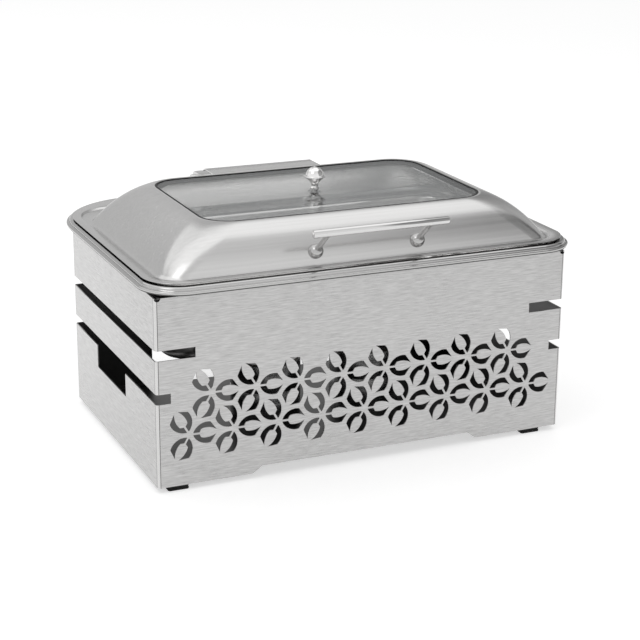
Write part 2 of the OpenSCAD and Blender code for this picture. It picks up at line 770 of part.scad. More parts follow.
module food_pan() color("whitesmoke") {
    rim = [food_w / 2, pan_y - food_d / 2, pan_y + food_d / 2, food_r, food_r];
    body = [food_w / 2 - food_rim, rim[1] + food_rim, rim[2] - food_rim, food_body_r, food_body_r];
    top = seat_z + pan_sheet + food_edge_h;
    difference() {
        slab(rim, seat_z + pan_sheet, food_edge_h + pan_sheet);
        slab(inset(rim, pan_sheet), seat_z + pan_sheet - over, food_edge_h + over);
        slab(inset(body, pan_sheet), seat_z, 2 * food_edge_h + pan_sheet + over);
    }
    difference() {
        slab(body, top - food_h, food_h + pan_sheet);
        slab(inset(body, pan_sheet), top - food_h + pan_sheet, food_h + over);
    }
}

module housing_screw_places() {
    for (x = [-1, 1], y = [0, 1])
        translate([x * housing_screw_x, axis_y - housing_front / 2 + y * housing_front, 0]) children();
}

// Section of the housing, across the axis
module housing_section() {
    translate([-housing_front, ledge_top - axis_z])
        square([housing_front + housing_low_rear, axis_z - ledge_top]);
    translate([-housing_front, rim_top + rest_gap - axis_z])
        square([housing_front + housing_rear - housing_round, housing_top - rim_top - rest_gap + axis_z]);
    translate([-housing_front, rim_top + rest_gap - axis_z])
        square([housing_front + housing_rear, housing_top - housing_round - rim_top - rest_gap + axis_z]);
    translate([housing_rear - housing_round, housing_top - housing_round]) circle(housing_round);
}

// The section drawn by the child, from x0 to x1 along the hinge axis
module along_axis(x0, x1) {
    translate([x0, axis_y, axis_z]) rotate([90, 0, 90]) linear_extrude(x1 - x0) children();
}

module hinge_housing() color("silver") difference() {
    along_axis(block_w - housing_half, housing_half - block_w) difference() {
        housing_section();
        circle(spring_bore_r);
    }
    housing_screw_places() cylinder(h = ledge_top + housing_screw_bite, r = housing_screw_r);
}

module hinge_block(x0, x1) along_axis(x0, x1) difference() {
    housing_section();
    circle(pin_r);
}

module hinge_block_left() color("silver") hinge_block(-housing_half, block_w - housing_half);

module hinge_block_right() color("silver") hinge_block(housing_half - block_w, housing_half);

module hinge_pin() color("gainsboro") {
    along_axis(-arm_x1 - rest_gap, arm_x1 + rest_gap) circle(pin_r);
    along_axis(-arm_x1 - rest_gap - pin_head_h, -arm_x1 - rest_gap) circle(pin_head_r);
    along_axis(arm_x1 + rest_gap, arm_x1 + rest_gap + pin_head_h) circle(pin_head_r);
}

// Outer shape of one torsion spring, closed up inside the housing
module torsion_spring(x0, x1) along_axis(x0, x1) difference() {
    circle(spring_r);
    circle(spring_inner_r);
}

module torsion_spring_left() color("dimgray") torsion_spring(block_w - housing_half, -spring_mid / 2);

module torsion_spring_right() color("dimgray") torsion_spring(spring_mid / 2, housing_half - block_w);

module housing_screws() color("silver") housing_screw_places()
    bolt(0, 0, ledge_z, housing_head_r, housing_head_h, housing_screw_r, pan_sheet + housing_screw_bite);

// Places of the screws through the lid, each drawn from under it
module cover_screw_places() {
    for (i = [-1:1])
        translate([i * cover_screw_x, axis_y + arm_front + cover_screw_in, 0]) children();
}

module arm_screw_places(s) {
    for (i = [0, 1])
        translate([s * (arm_x0 + arm_x1) / 2, axis_y + arm_front + arm_screw_in + i * arm_screw_pitch, 0])
            children();
}

// Places of the screws into the balls, with Z out of the front wall
module post_places(s) {
    translate([s * post_x, ball_y, ball_wall_z]) rotate([90 - wall_a, 0, 0]) children();
}

// The lid's sheet: flange, recess, dome, window frame and the ledge under the glass
module lid_sheet_body() {
    t = lid_sheet;
    ledge = dome_z - window_lip;
    n = 4 * (corner_steps + 1);
    last = len(dome_height_shares) - 1;
    rings = concat(
        [ring(flange, flange_z0), ring(flange, flange_z1), ring(recess, flange_z1),
         ring(inset(recess, recess_slope), recess_z)],
        [for (s = dome_height_shares) ring(dome_at(s), recess_z + dome_h * s)],
        [ring(window, dome_z), ring(window, ledge), ring(inset(window, window_ledge), ledge),
         ring(inset(window, window_ledge), ledge - t), ring(inset(window, -t), ledge - t),
         ring(inset(window, -t), dome_z - t)],
        [for (i = [last:-1:0]) let (s = dome_height_shares[i])
            ring(inset(dome_at(s), t * (1 - inner_share * s)), recess_z + dome_h * s - t)],
        [ring(inset(recess, recess_slope - t), recess_z - t), ring(inset(recess, -t), flange_z0)]);
    m = len(rings);
    polyhedron([for (r = rings, p = r) p],
               [for (j = [0:m - 1], i = [0:n - 1]) let (a = j * n, b = ((j + 1) % m) * n, k = (i + 1) % n)
                   [a + i, b + i, b + k, a + k]]);
}

module lid_shell() color("silver") difference() {
    lid_sheet_body();
    translate([-arm_x1 - notch_gap, notch_y, flange_z0 - over])
        cube([2 * (arm_x1 + notch_gap), flange_w_rear, lid_sheet + 2 * over]);
    cover_screw_places() translate([0, 0, recess_z - lid_sheet - over])
        cylinder(h = lid_sheet + 2 * over, r = small_screw_r + screw_clear);
    for (s = [-1, 1]) {
        arm_screw_places(s) translate([0, 0, recess_z - lid_sheet - over])
            cylinder(h = lid_sheet + 2 * over, r = small_screw_r + screw_clear);
        post_places(s) translate([0, 0, -ball_r]) cylinder(h = 2 * ball_r, r = post_screw_r + post_clear);
    }
}

module window_gasket() color("black") {
    rim = inset(window, seal_gap);
    difference() {
        slab(rim, dome_z - window_lip, gasket_pad + glass_t);
        slab(inset(rim, gasket_w), dome_z - window_lip - over, window_lip + 2 * over);
    }
    difference() {
        slab(inset(rim, gasket_w), dome_z - window_lip, gasket_pad);
        slab(inset(window, window_ledge), dome_z - window_lip - over, gasket_pad + 2 * over);
    }
}

module window_glass() color("lightblue", 0.4) difference() {
    slab(inset(window, seal_gap + gasket_w), glass_z, glass_t);
    translate([0, knob_y, glass_z - over]) cylinder(h = glass_t + 2 * over, r = stud_r + stud_clear);
}

module lid_bumpers() color("black")
    for (x = [-1, 1], y = [-1, 1])
        translate([x * bumper_x, stand_y + y * bumper_y, rim_top + rest_gap])
            cylinder(h = lid_gap - rest_gap, r = bumper_r);

module knob() color("gainsboro") translate([0, knob_y, glass_top]) difference() {
    rotate_extrude() {
        polygon([[0, 0], [knob_foot_r, 0], [knob_foot_r, knob_brim_t], [knob_neck_r, knob_neck_z],
                 [knob_r, knob_brim_z], [knob_r, knob_brim_z + knob_brim_t],
                 [0, knob_brim_z + knob_brim_t]]);
        intersection() {
            translate([0, knob_brim_z + knob_brim_t]) circle(knob_top_r);
            translate([0, knob_brim_z]) square([knob_top_r, knob_top_r + knob_brim_t]);
        }
        translate([0, knob_brim_z + knob_brim_t]) square([knob_dot_r, knob_top_r + knob_dot_h]);
    }
    translate([0, 0, -over]) cylinder(h = knob_brim_z / 2 + over, r = stud_r);
}

module knob_fixing() color("silver") {
    translate([0, knob_y, glass_z - washer_h - nut_h])
        cylinder(h = glass_t + washer_h + nut_h + knob_brim_z / 2, r = stud_r);
    translate([0, knob_y, glass_z - washer_h]) cylinder(h = washer_h, r = washer_r);
    translate([0, knob_y, glass_z - washer_h - nut_h]) cylinder(h = nut_h, r = nut_r, $fn = 6);
}

// Stem from inside a ball up to the bar's axis
module stem(s) {
    translate([s * post_x, ball_y, ball_wall_z]) rotate([stem_a, 0, 0])
        translate([0, 0, ball_r / 2]) cylinder(h = stem_run - ball_r / 2, r = stem_r);
}

module handle_bar() color("gainsboro") difference() {
    translate([-bar_half, bar_y, bar_z]) rotate([0, 90, 0]) {
        translate([0, 0, bar_edge]) cylinder(h = 2 * (bar_half - bar_edge), r = bar_r);
        cylinder(h = bar_edge, r1 = bar_r - bar_edge, r2 = bar_r);
        translate([0, 0, 2 * bar_half - bar_edge]) cylinder(h = bar_edge, r1 = bar_r, r2 = bar_r - bar_edge);
    }
    for (s = [-1, 1]) stem(s);
}

// Ball seated on the front wall, with its stem up to the bar
module handle_post(s) difference() {
    union() {
        post_places(s) rotate_extrude() intersection() {
            circle(ball_r);
            square(ball_r);
        }
        stem(s);
    }
    post_places(s) translate([0, 0, -over]) cylinder(h = over + post_screw_bite, r = post_screw_r);
}

module handle_post_left() color("gainsboro") handle_post(-1);

module handle_post_right() color("gainsboro") handle_post(1);

// Screws from inside the dome into the balls
module handle_screws() color("silver") for (s = [-1, 1]) post_places(s) {
    seat = 2 * lid_sheet;
    reach = seat + post_head_h;
    translate([0, 0, -reach]) cylinder(h = reach + post_screw_bite, r = post_screw_r);
    translate([0, 0, -reach]) cylinder(h = post_head_h, r = post_head_r);
}

// Side view of an arm: level top, fall to the eye, eye and feet on the flange and in the recess
module arm_section() {
    far = norm([arm_fall, arm_top]);
    a = atan2(arm_top, -arm_fall) - acos(arm_eye_r / far);
    difference() {
        union() {
            polygon([[arm_front, recess_z - axis_z], [recess_front - 2 * recess_slope, recess_z - axis_z],
                     [recess_front - 2 * recess_slope, flange_z1 - axis_z], [arm_seat, flange_z1 - axis_z],
                     [0, -arm_eye_r], [0, 0], [arm_eye_r * cos(a), arm_eye_r * sin(a)],
                     [-arm_fall, arm_top], [arm_front, arm_top]]);
            circle(arm_eye_r);
        }
        circle(pin_r + pin_fit);
    }
}

module hinge_arm(s) difference() {
    along_axis(s > 0 ? arm_x0 : -arm_x1, s > 0 ? arm_x1 : -arm_x0) arm_section();
    arm_screw_places(s) cylinder(h = recess_z + arm_screw_bite, r = small_screw_r);
}

module hinge_arm_left() color("gainsboro") hinge_arm(-1);

module hinge_arm_right() color("gainsboro") hinge_arm(1);

module arm_screws() color("silver") for (s = [-1, 1]) arm_screw_places(s)
    bolt(0, 0, recess_z - lid_sheet, small_head_r, small_head_h, small_screw_r, lid_sheet + arm_screw_bite);

// Folded cover between the arms: foot, front wall, level top and short fall
module hinge_cover() color("gainsboro") difference() {
    floor = recess_z - axis_z;
    end = cover_fall - arm_fall;
    along_axis(-cover_half, cover_half)
        polygon([[arm_front, floor], [arm_front + cover_foot, floor],
                 [arm_front + cover_foot, floor + cover_t],
                 [arm_front + cover_t, floor + cover_t], [arm_front + cover_t, cover_top - cover_t],
                 [-arm_fall, cover_top - cover_t], [end, cover_top - cover_fall_z - cover_t],
                 [end, cover_top - cover_fall_z], [-arm_fall, cover_top], [arm_front, cover_top]]);
    cover_screw_places() cylinder(h = recess_z + cover_t + over, r = small_screw_r);
}

module cover_screws() color("silver") cover_screw_places() {
    bolt(0, 0, recess_z - lid_sheet, small_head_r, small_head_h, small_screw_r, lid_sheet + cover_t);
    translate([0, 0, recess_z + cover_t]) cylinder(h = small_head_h, r = small_head_r);
}

front_panel();
left_side();
right_side();
rear_panel();
burner_shelf();
shelf_rivets();
rubber_feet();
foot_screws();
fuel_holder_left();
fuel_holder_right();
fuel_can_left();
fuel_can_right();
snuffer_left();
snuffer_right();
water_pan();
pan_rim();
food_pan();
hinge_housing();
hinge_block_left();
hinge_block_right();
hinge_pin();
torsion_spring_left();
torsion_spring_right();
housing_screws();
lid_shell();
window_gasket();
window_glass();
lid_bumpers();
knob();
knob_fixing();
handle_bar();
handle_post_left();
handle_post_right();
handle_screws();
hinge_arm_left();
hinge_arm_right();
arm_screws();
hinge_cover();
cover_screws();
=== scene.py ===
"""Looks of a full-size buffet chafing dish: pierced steel stand, pans, fuel holders and windowed lid.

Every length is in millimetres until a mesh is finished, which scales it to metres. X runs right along
the long front, Y to the back and Z up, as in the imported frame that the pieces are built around.
"""

import logging
import math
from collections.abc import Iterable, Sequence
from dataclasses import dataclass, field, replace
from enum import Enum

import bmesh
import bpy
from mathutils import Matrix, Vector


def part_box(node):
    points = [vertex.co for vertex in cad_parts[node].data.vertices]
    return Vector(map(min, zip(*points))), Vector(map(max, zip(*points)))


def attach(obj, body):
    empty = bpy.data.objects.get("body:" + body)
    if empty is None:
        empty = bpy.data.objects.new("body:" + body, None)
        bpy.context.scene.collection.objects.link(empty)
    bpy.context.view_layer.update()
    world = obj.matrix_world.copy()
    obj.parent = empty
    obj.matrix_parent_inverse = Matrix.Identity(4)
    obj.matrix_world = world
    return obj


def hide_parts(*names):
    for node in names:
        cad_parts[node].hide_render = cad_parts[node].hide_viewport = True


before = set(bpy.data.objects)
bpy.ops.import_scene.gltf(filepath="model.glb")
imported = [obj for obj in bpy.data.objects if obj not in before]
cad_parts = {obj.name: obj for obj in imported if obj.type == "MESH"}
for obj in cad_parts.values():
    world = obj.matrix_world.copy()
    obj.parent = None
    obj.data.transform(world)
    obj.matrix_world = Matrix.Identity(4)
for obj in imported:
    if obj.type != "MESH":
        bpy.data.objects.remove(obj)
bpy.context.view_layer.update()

MM = 0.001
LOG = logging.getLogger("chafer")

WELD = 0.001
CUT = 0.0001

MIDDLE = 0.5
FINE_SHARE = 0.35
WIDE_CELLS = 0.42
CLOUD_CELLS = (9.0, 9.0, 9.0)
STREAK_GAIN = 4.0
CLOUD_GAIN = 6.0
DARK_SHARE = 0.82
BRIGHT_SHARE = 1.15


class Body(Enum):
    """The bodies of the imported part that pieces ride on."""

    STAND = "stand"
    PANS = "pans"
    LID = "lid"
    BURNER_LEFT = "burner_left"
    BURNER_RIGHT = "burner_right"
    SNUFFER_LEFT = "snuffer_left"
    SNUFFER_RIGHT = "snuffer_right"


class Grain(Enum):
    """Which way a brushed finish runs, as noise cells for each metre along X, Y and Z."""

    LEVEL = (120.0, 120.0, 1600.0)
    ALONG_X = (3.0, 700.0, 700.0)
    UPRIGHT = (900.0, 900.0, 4.0)
    NONE = (300.0, 300.0, 300.0)


class Signal:
    """A shader socket carrying one number, with Python's operators adding Math nodes."""

    def __init__(self, graph: "Graph", socket: bpy.types.NodeSocket) -> None:
        """Wrap a socket.

        Args:
            graph: The material graph that the socket is in.
            socket: The output socket to wrap.
        """
        self.graph = graph
        self.socket = socket

    def _math(self, operation: str, first: "Signal | float", second: "Signal | float") -> "Signal":
        """Add one Math node.

        Args:
            operation: The node's operation.
            first: The upper value.
            second: The lower value.

        Returns:
            The node's result.
        """
        return self.graph.signal("ShaderNodeMath", {"operation": operation}, {0: first, 1: second})

    def __add__(self, other: "Signal | float") -> "Signal":
        """Sum of two values."""
        return self._math("ADD", self, other)

    def __sub__(self, other: "Signal | float") -> "Signal":
        """Difference of two values."""
        return self._math("SUBTRACT", self, other)

    def __rsub__(self, other: float) -> "Signal":
        """A number less this value."""
        return self._math("SUBTRACT", other, self)

    def __mul__(self, other: "Signal | float") -> "Signal":
        """Product of two values."""
        return self._math("MULTIPLY", self, other)

    def __pow__(self, power: float) -> "Signal":
        """This value raised to a power."""
        return self._math("POWER", self, power)

    __radd__ = __add__


class Graph:
    """The nodes of one material or world."""

    def __init__(self, owner: bpy.types.Material | bpy.types.World) -> None:
        """Start with no nodes.

        Args:
            owner: The new material or world.
        """
        owner.use_nodes = True
        self.owner = owner
        self.tree = owner.node_tree
        self.tree.nodes.clear()

    @classmethod
    def of(cls, name: str) -> "Graph":
        """Nodes of a new material."""
        return cls(bpy.data.materials.new(name))

    def node(self, kind: str, settings: dict | None = None,
             inputs: dict | None = None) -> bpy.types.Node:
        """Add a node, with its settings made before its sockets are filled.

        Args:
            kind: The node's type.
            settings: Properties of the node, and "stops" for a ramp's places and greys.
            inputs: Values or links, keyed by a socket's name or number.

        Returns:
            The new node.
        """
        made = self.tree.nodes.new(kind)
        for key, value in (settings or {}).items():
            if key == "stops":
                self._fill_ramp(made.color_ramp, value)
            else:
                setattr(made, key, value)
        for key, value in (inputs or {}).items():
            if isinstance(value, Signal):
                self.tree.links.new(value.socket, made.inputs[key])
            elif isinstance(value, bpy.types.NodeSocket):
                self.tree.links.new(value, made.inputs[key])
            else:
                made.inputs[key].default_value = value
        return made

    @staticmethod
    def _fill_ramp(ramp: bpy.types.ColorRamp, stops: Sequence[tuple[float, float]]) -> None:
        """Give a ramp its stops.

        Args:
            ramp: The ramp to fill.
            stops: Place and grey of each stop, in order.
        """
        while len(ramp.elements) < len(stops):
            ramp.elements.new(1.0)
        for element, (place, grey) in zip(ramp.elements, stops):
            element.position = place
            element.color = (grey, grey, grey, 1.0)

    def signal(self, kind: str, settings: dict | None = None, inputs: dict | None = None,
               output: int | str = 0) -> Signal:
        """Add a node and wrap one of its outputs.

        Args:
            kind: The node's type.
            settings: Properties of the node.
            inputs: Values or links of its sockets.
            output: Which output to wrap.

        Returns:
            The wrapped output.
        """
        return Signal(self, self.node(kind, settings, inputs).outputs[output])

    def place(self, cells: Sequence[float]) -> Signal:
        """Object coordinates stretched to a number of cells for each metre.

        Args:
            cells: Cells for each metre along X, Y and Z.

        Returns:
            The stretched coordinates.
        """
        here = self.node("ShaderNodeTexCoord").outputs["Object"]
        return self.signal("ShaderNodeMapping", None, {"Vector": here, "Scale": tuple(cells)})

    def noise(self, cells: Sequence[float], detail: float = 2.0, contrast: float = 1.0) -> Signal:
        """Noise over the surface, centred on one half.

        Args:
            cells: Cells for each metre along X, Y and Z.
            detail: Octaves of the noise.
            contrast: How far the values are spread from one half.

        Returns:
            The noise.
        """
        inputs = {"Vector": self.place(cells), "Scale": 1.0, "Detail": detail, "Roughness": 0.55}
        return (self.signal("ShaderNodeTexNoise", None, inputs) - MIDDLE) * contrast + MIDDLE

    def blend(self, share: Signal, low: Sequence[float], high: Sequence[float]) -> bpy.types.NodeSocket:
        """Mix two colours.

        Args:
            share: How much of the second colour shows.
            low: The first colour.
            high: The second colour.

        Returns:
            The mixed colour.
        """
        mixed = self.node("ShaderNodeMix", {"data_type": "RGBA", "clamp_factor": True},
                          {0: share, 6: (*low, 1.0), 7: (*high, 1.0)})
        return mixed.outputs[2]

    def bump(self, height: Signal, strength: float, depth: float) -> bpy.types.NodeSocket:
        """Bump from a height.

        Args:
            height: The height, from 0 to 1.
            strength: Strength of the effect.
            depth: Real depth in metres.

        Returns:
            The changed normal.
        """
        inputs = {"Strength": strength, "Distance": depth, "Height": height}
        return self.node("ShaderNodeBump", None, inputs).outputs["Normal"]

    def surface(self, **sockets: object) -> bpy.types.Material:
        """Finish the material with a Principled shader.

        Args:
            **sockets: Values or links, keyed by the socket's name with underscores for spaces.

        Returns:
            The finished material.
        """
        inputs = {key.replace("_", " "): value for key, value in sockets.items()}
        shader = self.node("ShaderNodeBsdfPrincipled", None, inputs)
        self.node("ShaderNodeOutputMaterial", None, {"Surface": shader.outputs["BSDF"]})
        return self.owner


def grey(level: float, warmth: float = 0.0) -> tuple[float, float, float]:
    """A grey, with red raised and blue lowered by the warmth."""
    return (level * (1.0 + warmth), level, level * (1.0 - warmth))


@dataclass(frozen=True)
class Steel:
    """Stainless steel, from satin to polished, with its brushing, cloudiness and fine scratches."""

    name: str
    level: float
    roughness: float
    grain: Grain = Grain.LEVEL
    streaks: float = 0.10
    cloud: float = 0.05
    rough_spread: float = 0.12
    bump: float = 0.25
    stretch: float = 0.0
    warmth: float = 0.006

    def material(self) -> bpy.types.Material:
        """Build the material.

        Returns:
            The finished material.
        """
        graph = Graph.of(self.name)
        cells = self.grain.value
        lines = graph.noise(cells, 3.0, 1.6)
        wide = graph.noise([c * WIDE_CELLS for c in cells], 2.0, 1.8)
        cloud = graph.noise(CLOUD_CELLS, 3.0, 1.5)
        brushed = lines * FINE_SHARE + wide * (1.0 - FINE_SHARE)
        streak, patch = brushed - MIDDLE, cloud - MIDDLE
        share = streak * (self.streaks * STREAK_GAIN) + patch * (self.cloud * CLOUD_GAIN) + MIDDLE
        dark = grey(self.level * DARK_SHARE, self.warmth)
        bright = grey(self.level * BRIGHT_SHARE, self.warmth)
        colour = graph.blend(share, dark, bright)
        rough = streak * self.rough_spread + patch * (self.rough_spread * 0.7) + self.roughness
        normal = graph.bump(brushed, self.bump, 0.00006)
        return graph.surface(Base_Color=colour, Metallic=1.0, Roughness=rough, Normal=normal,
                             Anisotropic=self.stretch, Anisotropic_Rotation=0.25)


@dataclass(frozen=True)
class Rubber:
    """Black moulded rubber with a fine grain and dusty patches."""

    name: str
    level: float = 0.012
    roughness: float = 0.62

    def material(self) -> bpy.types.Material:
        """Build the material.

        Returns:
            The finished material.
        """
        graph = Graph.of(self.name)
        grain = graph.noise((1800.0, 1800.0, 1800.0), 2.0, 1.2)
        dust = graph.noise((45.0, 45.0, 45.0), 3.0, 1.6)
        colour = graph.blend(dust, grey(self.level), grey(self.level * 2.6))
        rough = (dust - MIDDLE) * 0.2 + self.roughness
        return graph.surface(Base_Color=colour, Roughness=rough, Normal=graph.bump(grain, 0.3, 0.00005),
                             Specular_IOR_Level=0.2)


@dataclass(frozen=True)
class Glass:
    """Clear tempered glass: see-through, with more reflection the flatter it is seen."""

    name: str
    tint: tuple[float, float, float] = (0.93, 0.95, 0.95)
    body: float = 0.02
    edge: float = 0.85
    falloff: float = 5.0
    roughness: float = 0.02

    def material(self) -> bpy.types.Material:
        """Build the material.

        Returns:
            The finished material.
        """
        graph = Graph.of(self.name)
        slant = graph.signal("ShaderNodeLayerWeight", None, {"Blend": 0.5}, "Facing")
        smears = graph.noise((14.0, 22.0, 14.0), 4.0, 1.4)
        smear = (smears - MIDDLE) * 0.02
        alpha = (slant ** self.falloff) * self.edge + smear + self.body
        rough = smear + self.roughness
        return graph.surface(Base_Color=(*self.tint, 1.0), Metallic=1.0, Roughness=rough, Alpha=alpha)


@dataclass(frozen=True)
class Paint:
    """Plain coated metal, such as a tin's lacquer or a spring's dark finish."""

    name: str
    colour: tuple[float, float, float]
    roughness: float = 0.4
    metallic: float = 0.7

    def material(self) -> bpy.types.Material:
        """Build the material.

        Returns:
            The finished material.
        """
        graph = Graph.of(self.name)
        cloud = graph.noise((60.0, 60.0, 60.0), 3.0, 1.4)
        dark = tuple(c * 0.85 for c in self.colour)
        colour = graph.blend(cloud, dark, self.colour)
        rough = (cloud - MIDDLE) * 0.15 + self.roughness
        normal = graph.bump(graph.noise((900.0, 900.0, 900.0)), 0.1, 0.00004)
        return graph.surface(Base_Color=colour, Metallic=self.metallic, Roughness=rough, Normal=normal)


@dataclass
class Finishes:
    """All the finishes of the dish, each built once."""

    skirt: Steel = Steel("brushed_skirt", 0.52, 0.30, streaks=0.5, stretch=0.7)
    # Painted shade: dark lines along each bend's edges and under the rim's turned-under edge.
    shade_line: Steel = Steel("painted_shade_line", 0.10, 0.40, Grain.NONE)
    # Painted highlight: the bright middle of each bend.
    fold_highlight: Steel = Steel("painted_fold_highlight", 0.64, 0.24, Grain.UPRIGHT, 0.05)
    # Painted shade: a dark copy of the skirt's steel for the inside of the stand.
    inner_shade: Steel = Steel("painted_inner_shade", 0.10, 0.34, Grain.LEVEL, 0.08, 0.08, 0.1, 0.12)
    lid: Steel = Steel("satin_lid", 0.62, 0.25, Grain.ALONG_X, 0.10, 0.03, 0.06, 0.08)
    # Painted light: the lid's inside, brighter than its outside.
    inside: Steel = Steel("painted_light_lid_inside", 0.78, 0.26, Grain.ALONG_X, 0.05, 0.04, 0.08, 0.10)
    # Painted shade: the lid flange's underside, for the dark gap above the rim.
    flange_shade: Steel = Steel("painted_flange_shade", 0.20, 0.34, Grain.ALONG_X, 0.06, 0.06, 0.08, 0.10)
    rim: Steel = Steel("polished_rim", 0.50, 0.12, Grain.ALONG_X, 0.08, 0.03, 0.05, 0.08)
    # Partly painted light: the pans' own steel, brightened for the inside seen through the glass.
    pan: Steel = Steel("painted_light_pan", 0.80, 0.22, Grain.ALONG_X, 0.05, 0.05, 0.08, 0.12)
    # Painted shade: a dark copy of the pan's steel for the water pan's outside.
    well: Steel = Steel("painted_shade_pan_outside", 0.26, 0.34, Grain.ALONG_X, 0.05, 0.05, 0.08, 0.12)
    polished: Steel = Steel("polished_steel", 0.66, 0.07, Grain.NONE, 0.03, 0.03, 0.04, 0.05)
    chrome: Steel = Steel("chromed_post", 0.46, 0.04, Grain.NONE, 0.03, 0.03, 0.02, 0.03)
    knob: Steel = Steel("bright_knob", 0.82, 0.12, Grain.NONE, 0.03, 0.03, 0.04, 0.05)
    handle: Steel = Steel("satin_handle", 0.68, 0.08, Grain.ALONG_X, 0.05, 0.03, 0.07, 0.12)
    hinge: Steel = Steel("satin_hinge", 0.62, 0.26, Grain.ALONG_X, 0.06, 0.04, 0.08, 0.15)
    # Painted shade: the burner shelf, a dark copy of the steel for the shadow inside the stand.
    shelf: Steel = Steel("painted_shade_shelf", 0.12, 0.38, Grain.ALONG_X, 0.06, 0.08, 0.12, 0.15)
    holder: Steel = Steel("spun_holder", 0.30, 0.26, Grain.LEVEL, 0.08, 0.05, 0.1, 0.15)
    fixing: Steel = Steel("plain_fixing", 0.55, 0.28, Grain.NONE, 0.04, 0.05, 0.1, 0.1)
    rubber: Rubber = Rubber("black_rubber")
    gasket: Rubber = Rubber("window_seal", 0.008, 0.45)
    glass: Glass = Glass("window_glass_clear")
    tin: Paint = Paint("plain_tin", (0.62, 0.57, 0.44), 0.36, 0.85)
    spring: Paint = Paint("dark_spring", (0.08, 0.08, 0.085), 0.35, 0.9)
    built: dict[str, bpy.types.Material] = field(default_factory=dict)

    def get(self, name: str) -> bpy.types.Material:
        """One finish's material.

        Args:
            name: The field's name.

        Returns:
            The material, built on its first use.
        """
        if name not in self.built:
            self.built[name] = getattr(self, name).material()
        return self.built[name]


@dataclass(frozen=True)
class Box:
    """Lowest and highest corner of some CAD nodes, in millimetres."""

    low: Vector
    high: Vector

    @classmethod
    def of(cls, *nodes: str) -> "Box":
        """Box round some nodes of the frame.

        Args:
            *nodes: The nodes' names.

        Returns:
            Their common box.
        """
        boxes = [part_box(node) for node in nodes]
        low = Vector(min(b[0][i] for b in boxes) for i in range(3)) / MM
        high = Vector(max(b[1][i] for b in boxes) for i in range(3)) / MM
        return cls(low, high)

    @property
    def middle(self) -> Vector:
        """The box's middle."""
        return (self.low + self.high) / 2

    @property
    def size(self) -> Vector:
        """The box's size."""
        return self.high - self.low


@dataclass(frozen=True)
class Outline:
    """A rectangle with round corners, whose rear corners may be wider, seen from above."""

    half: float
    front: float
    rear: float
    r_front: float
    r_rear: float

    @classmethod
    def round_box(cls, box: Box, radius: float, inset: float = 0.0) -> "Outline":
        """Outline of a box seen from above.

        Args:
            box: The box.
            radius: Radius of its corners before the inset.
            inset: How far inside the box the outline runs.

        Returns:
            The outline.
        """
        radius = radius - inset
        return cls(box.size.x / 2 - inset, box.low.y + inset, box.high.y - inset, radius, radius)

    def inset(self, distance: float) -> "Outline":
        """The outline moved inwards.

        Args:
            distance: How far, or below zero to move it outwards.

        Returns:
            The new outline.
        """
        return Outline(self.half - distance, self.front + distance, self.rear - distance,
                       max(self.r_front - distance, 0.4), max(self.r_rear - distance, 0.4))

    def towards(self, other: "Outline", side: float, ends: float) -> "Outline":
        """An outline between this one and another.

        Args:
            other: The outline at share 1.
            side: Share for the half width and the corners.
            ends: Share for the front and rear.

        Returns:
            The outline between.
        """
        return Outline(self.half + (other.half - self.half) * side,
                       self.front + (other.front - self.front) * ends,
                       self.rear + (other.rear - self.rear) * ends,
                       self.r_front + (other.r_front - self.r_front) * side,
                       self.r_rear + (other.r_rear - self.r_rear) * side)

    def points(self, z: float, steps: int, stops: Sequence[float] = ()) -> list[Vector]:
        """Points round the outline, the same number whatever its sizes.

        Args:
            z: Height of the points.
            steps: Steps in each corner.
            stops: Extra places along the rear edge, from right to left.

        Returns:
            The points, counter-clockwise from the rear right corner.
        """
        corners = ((self.half - self.r_rear, self.rear - self.r_rear, self.r_rear, 0.0),
                   (self.r_rear - self.half, self.rear - self.r_rear, self.r_rear, 90.0),
                   (self.r_front - self.half, self.front + self.r_front, self.r_front, 180.0),
                   (self.half - self.r_front, self.front + self.r_front, self.r_front, 270.0))
        made: list[Vector] = []
        for index, (x, y, radius, start) in enumerate(corners):
            for step in range(steps + 1):
                angle = math.radians(start + 90.0 * step / steps)
                made.append(Vector((x + radius * math.cos(angle), y + radius * math.sin(angle), z)))
            if index == 0:
                made.extend(Vector((stop, self.rear, z)) for stop in stops)
        return made


def link(name: str, data: bpy.types.ID) -> bpy.types.Object:
    """Add an object to the scene.

    Args:
        name: The object's name.
        data: Its mesh, camera or light.

    Returns:
        The new object.
    """
    made = bpy.data.objects.new(name, data)
    bpy.context.scene.collection.objects.link(made)
    return made


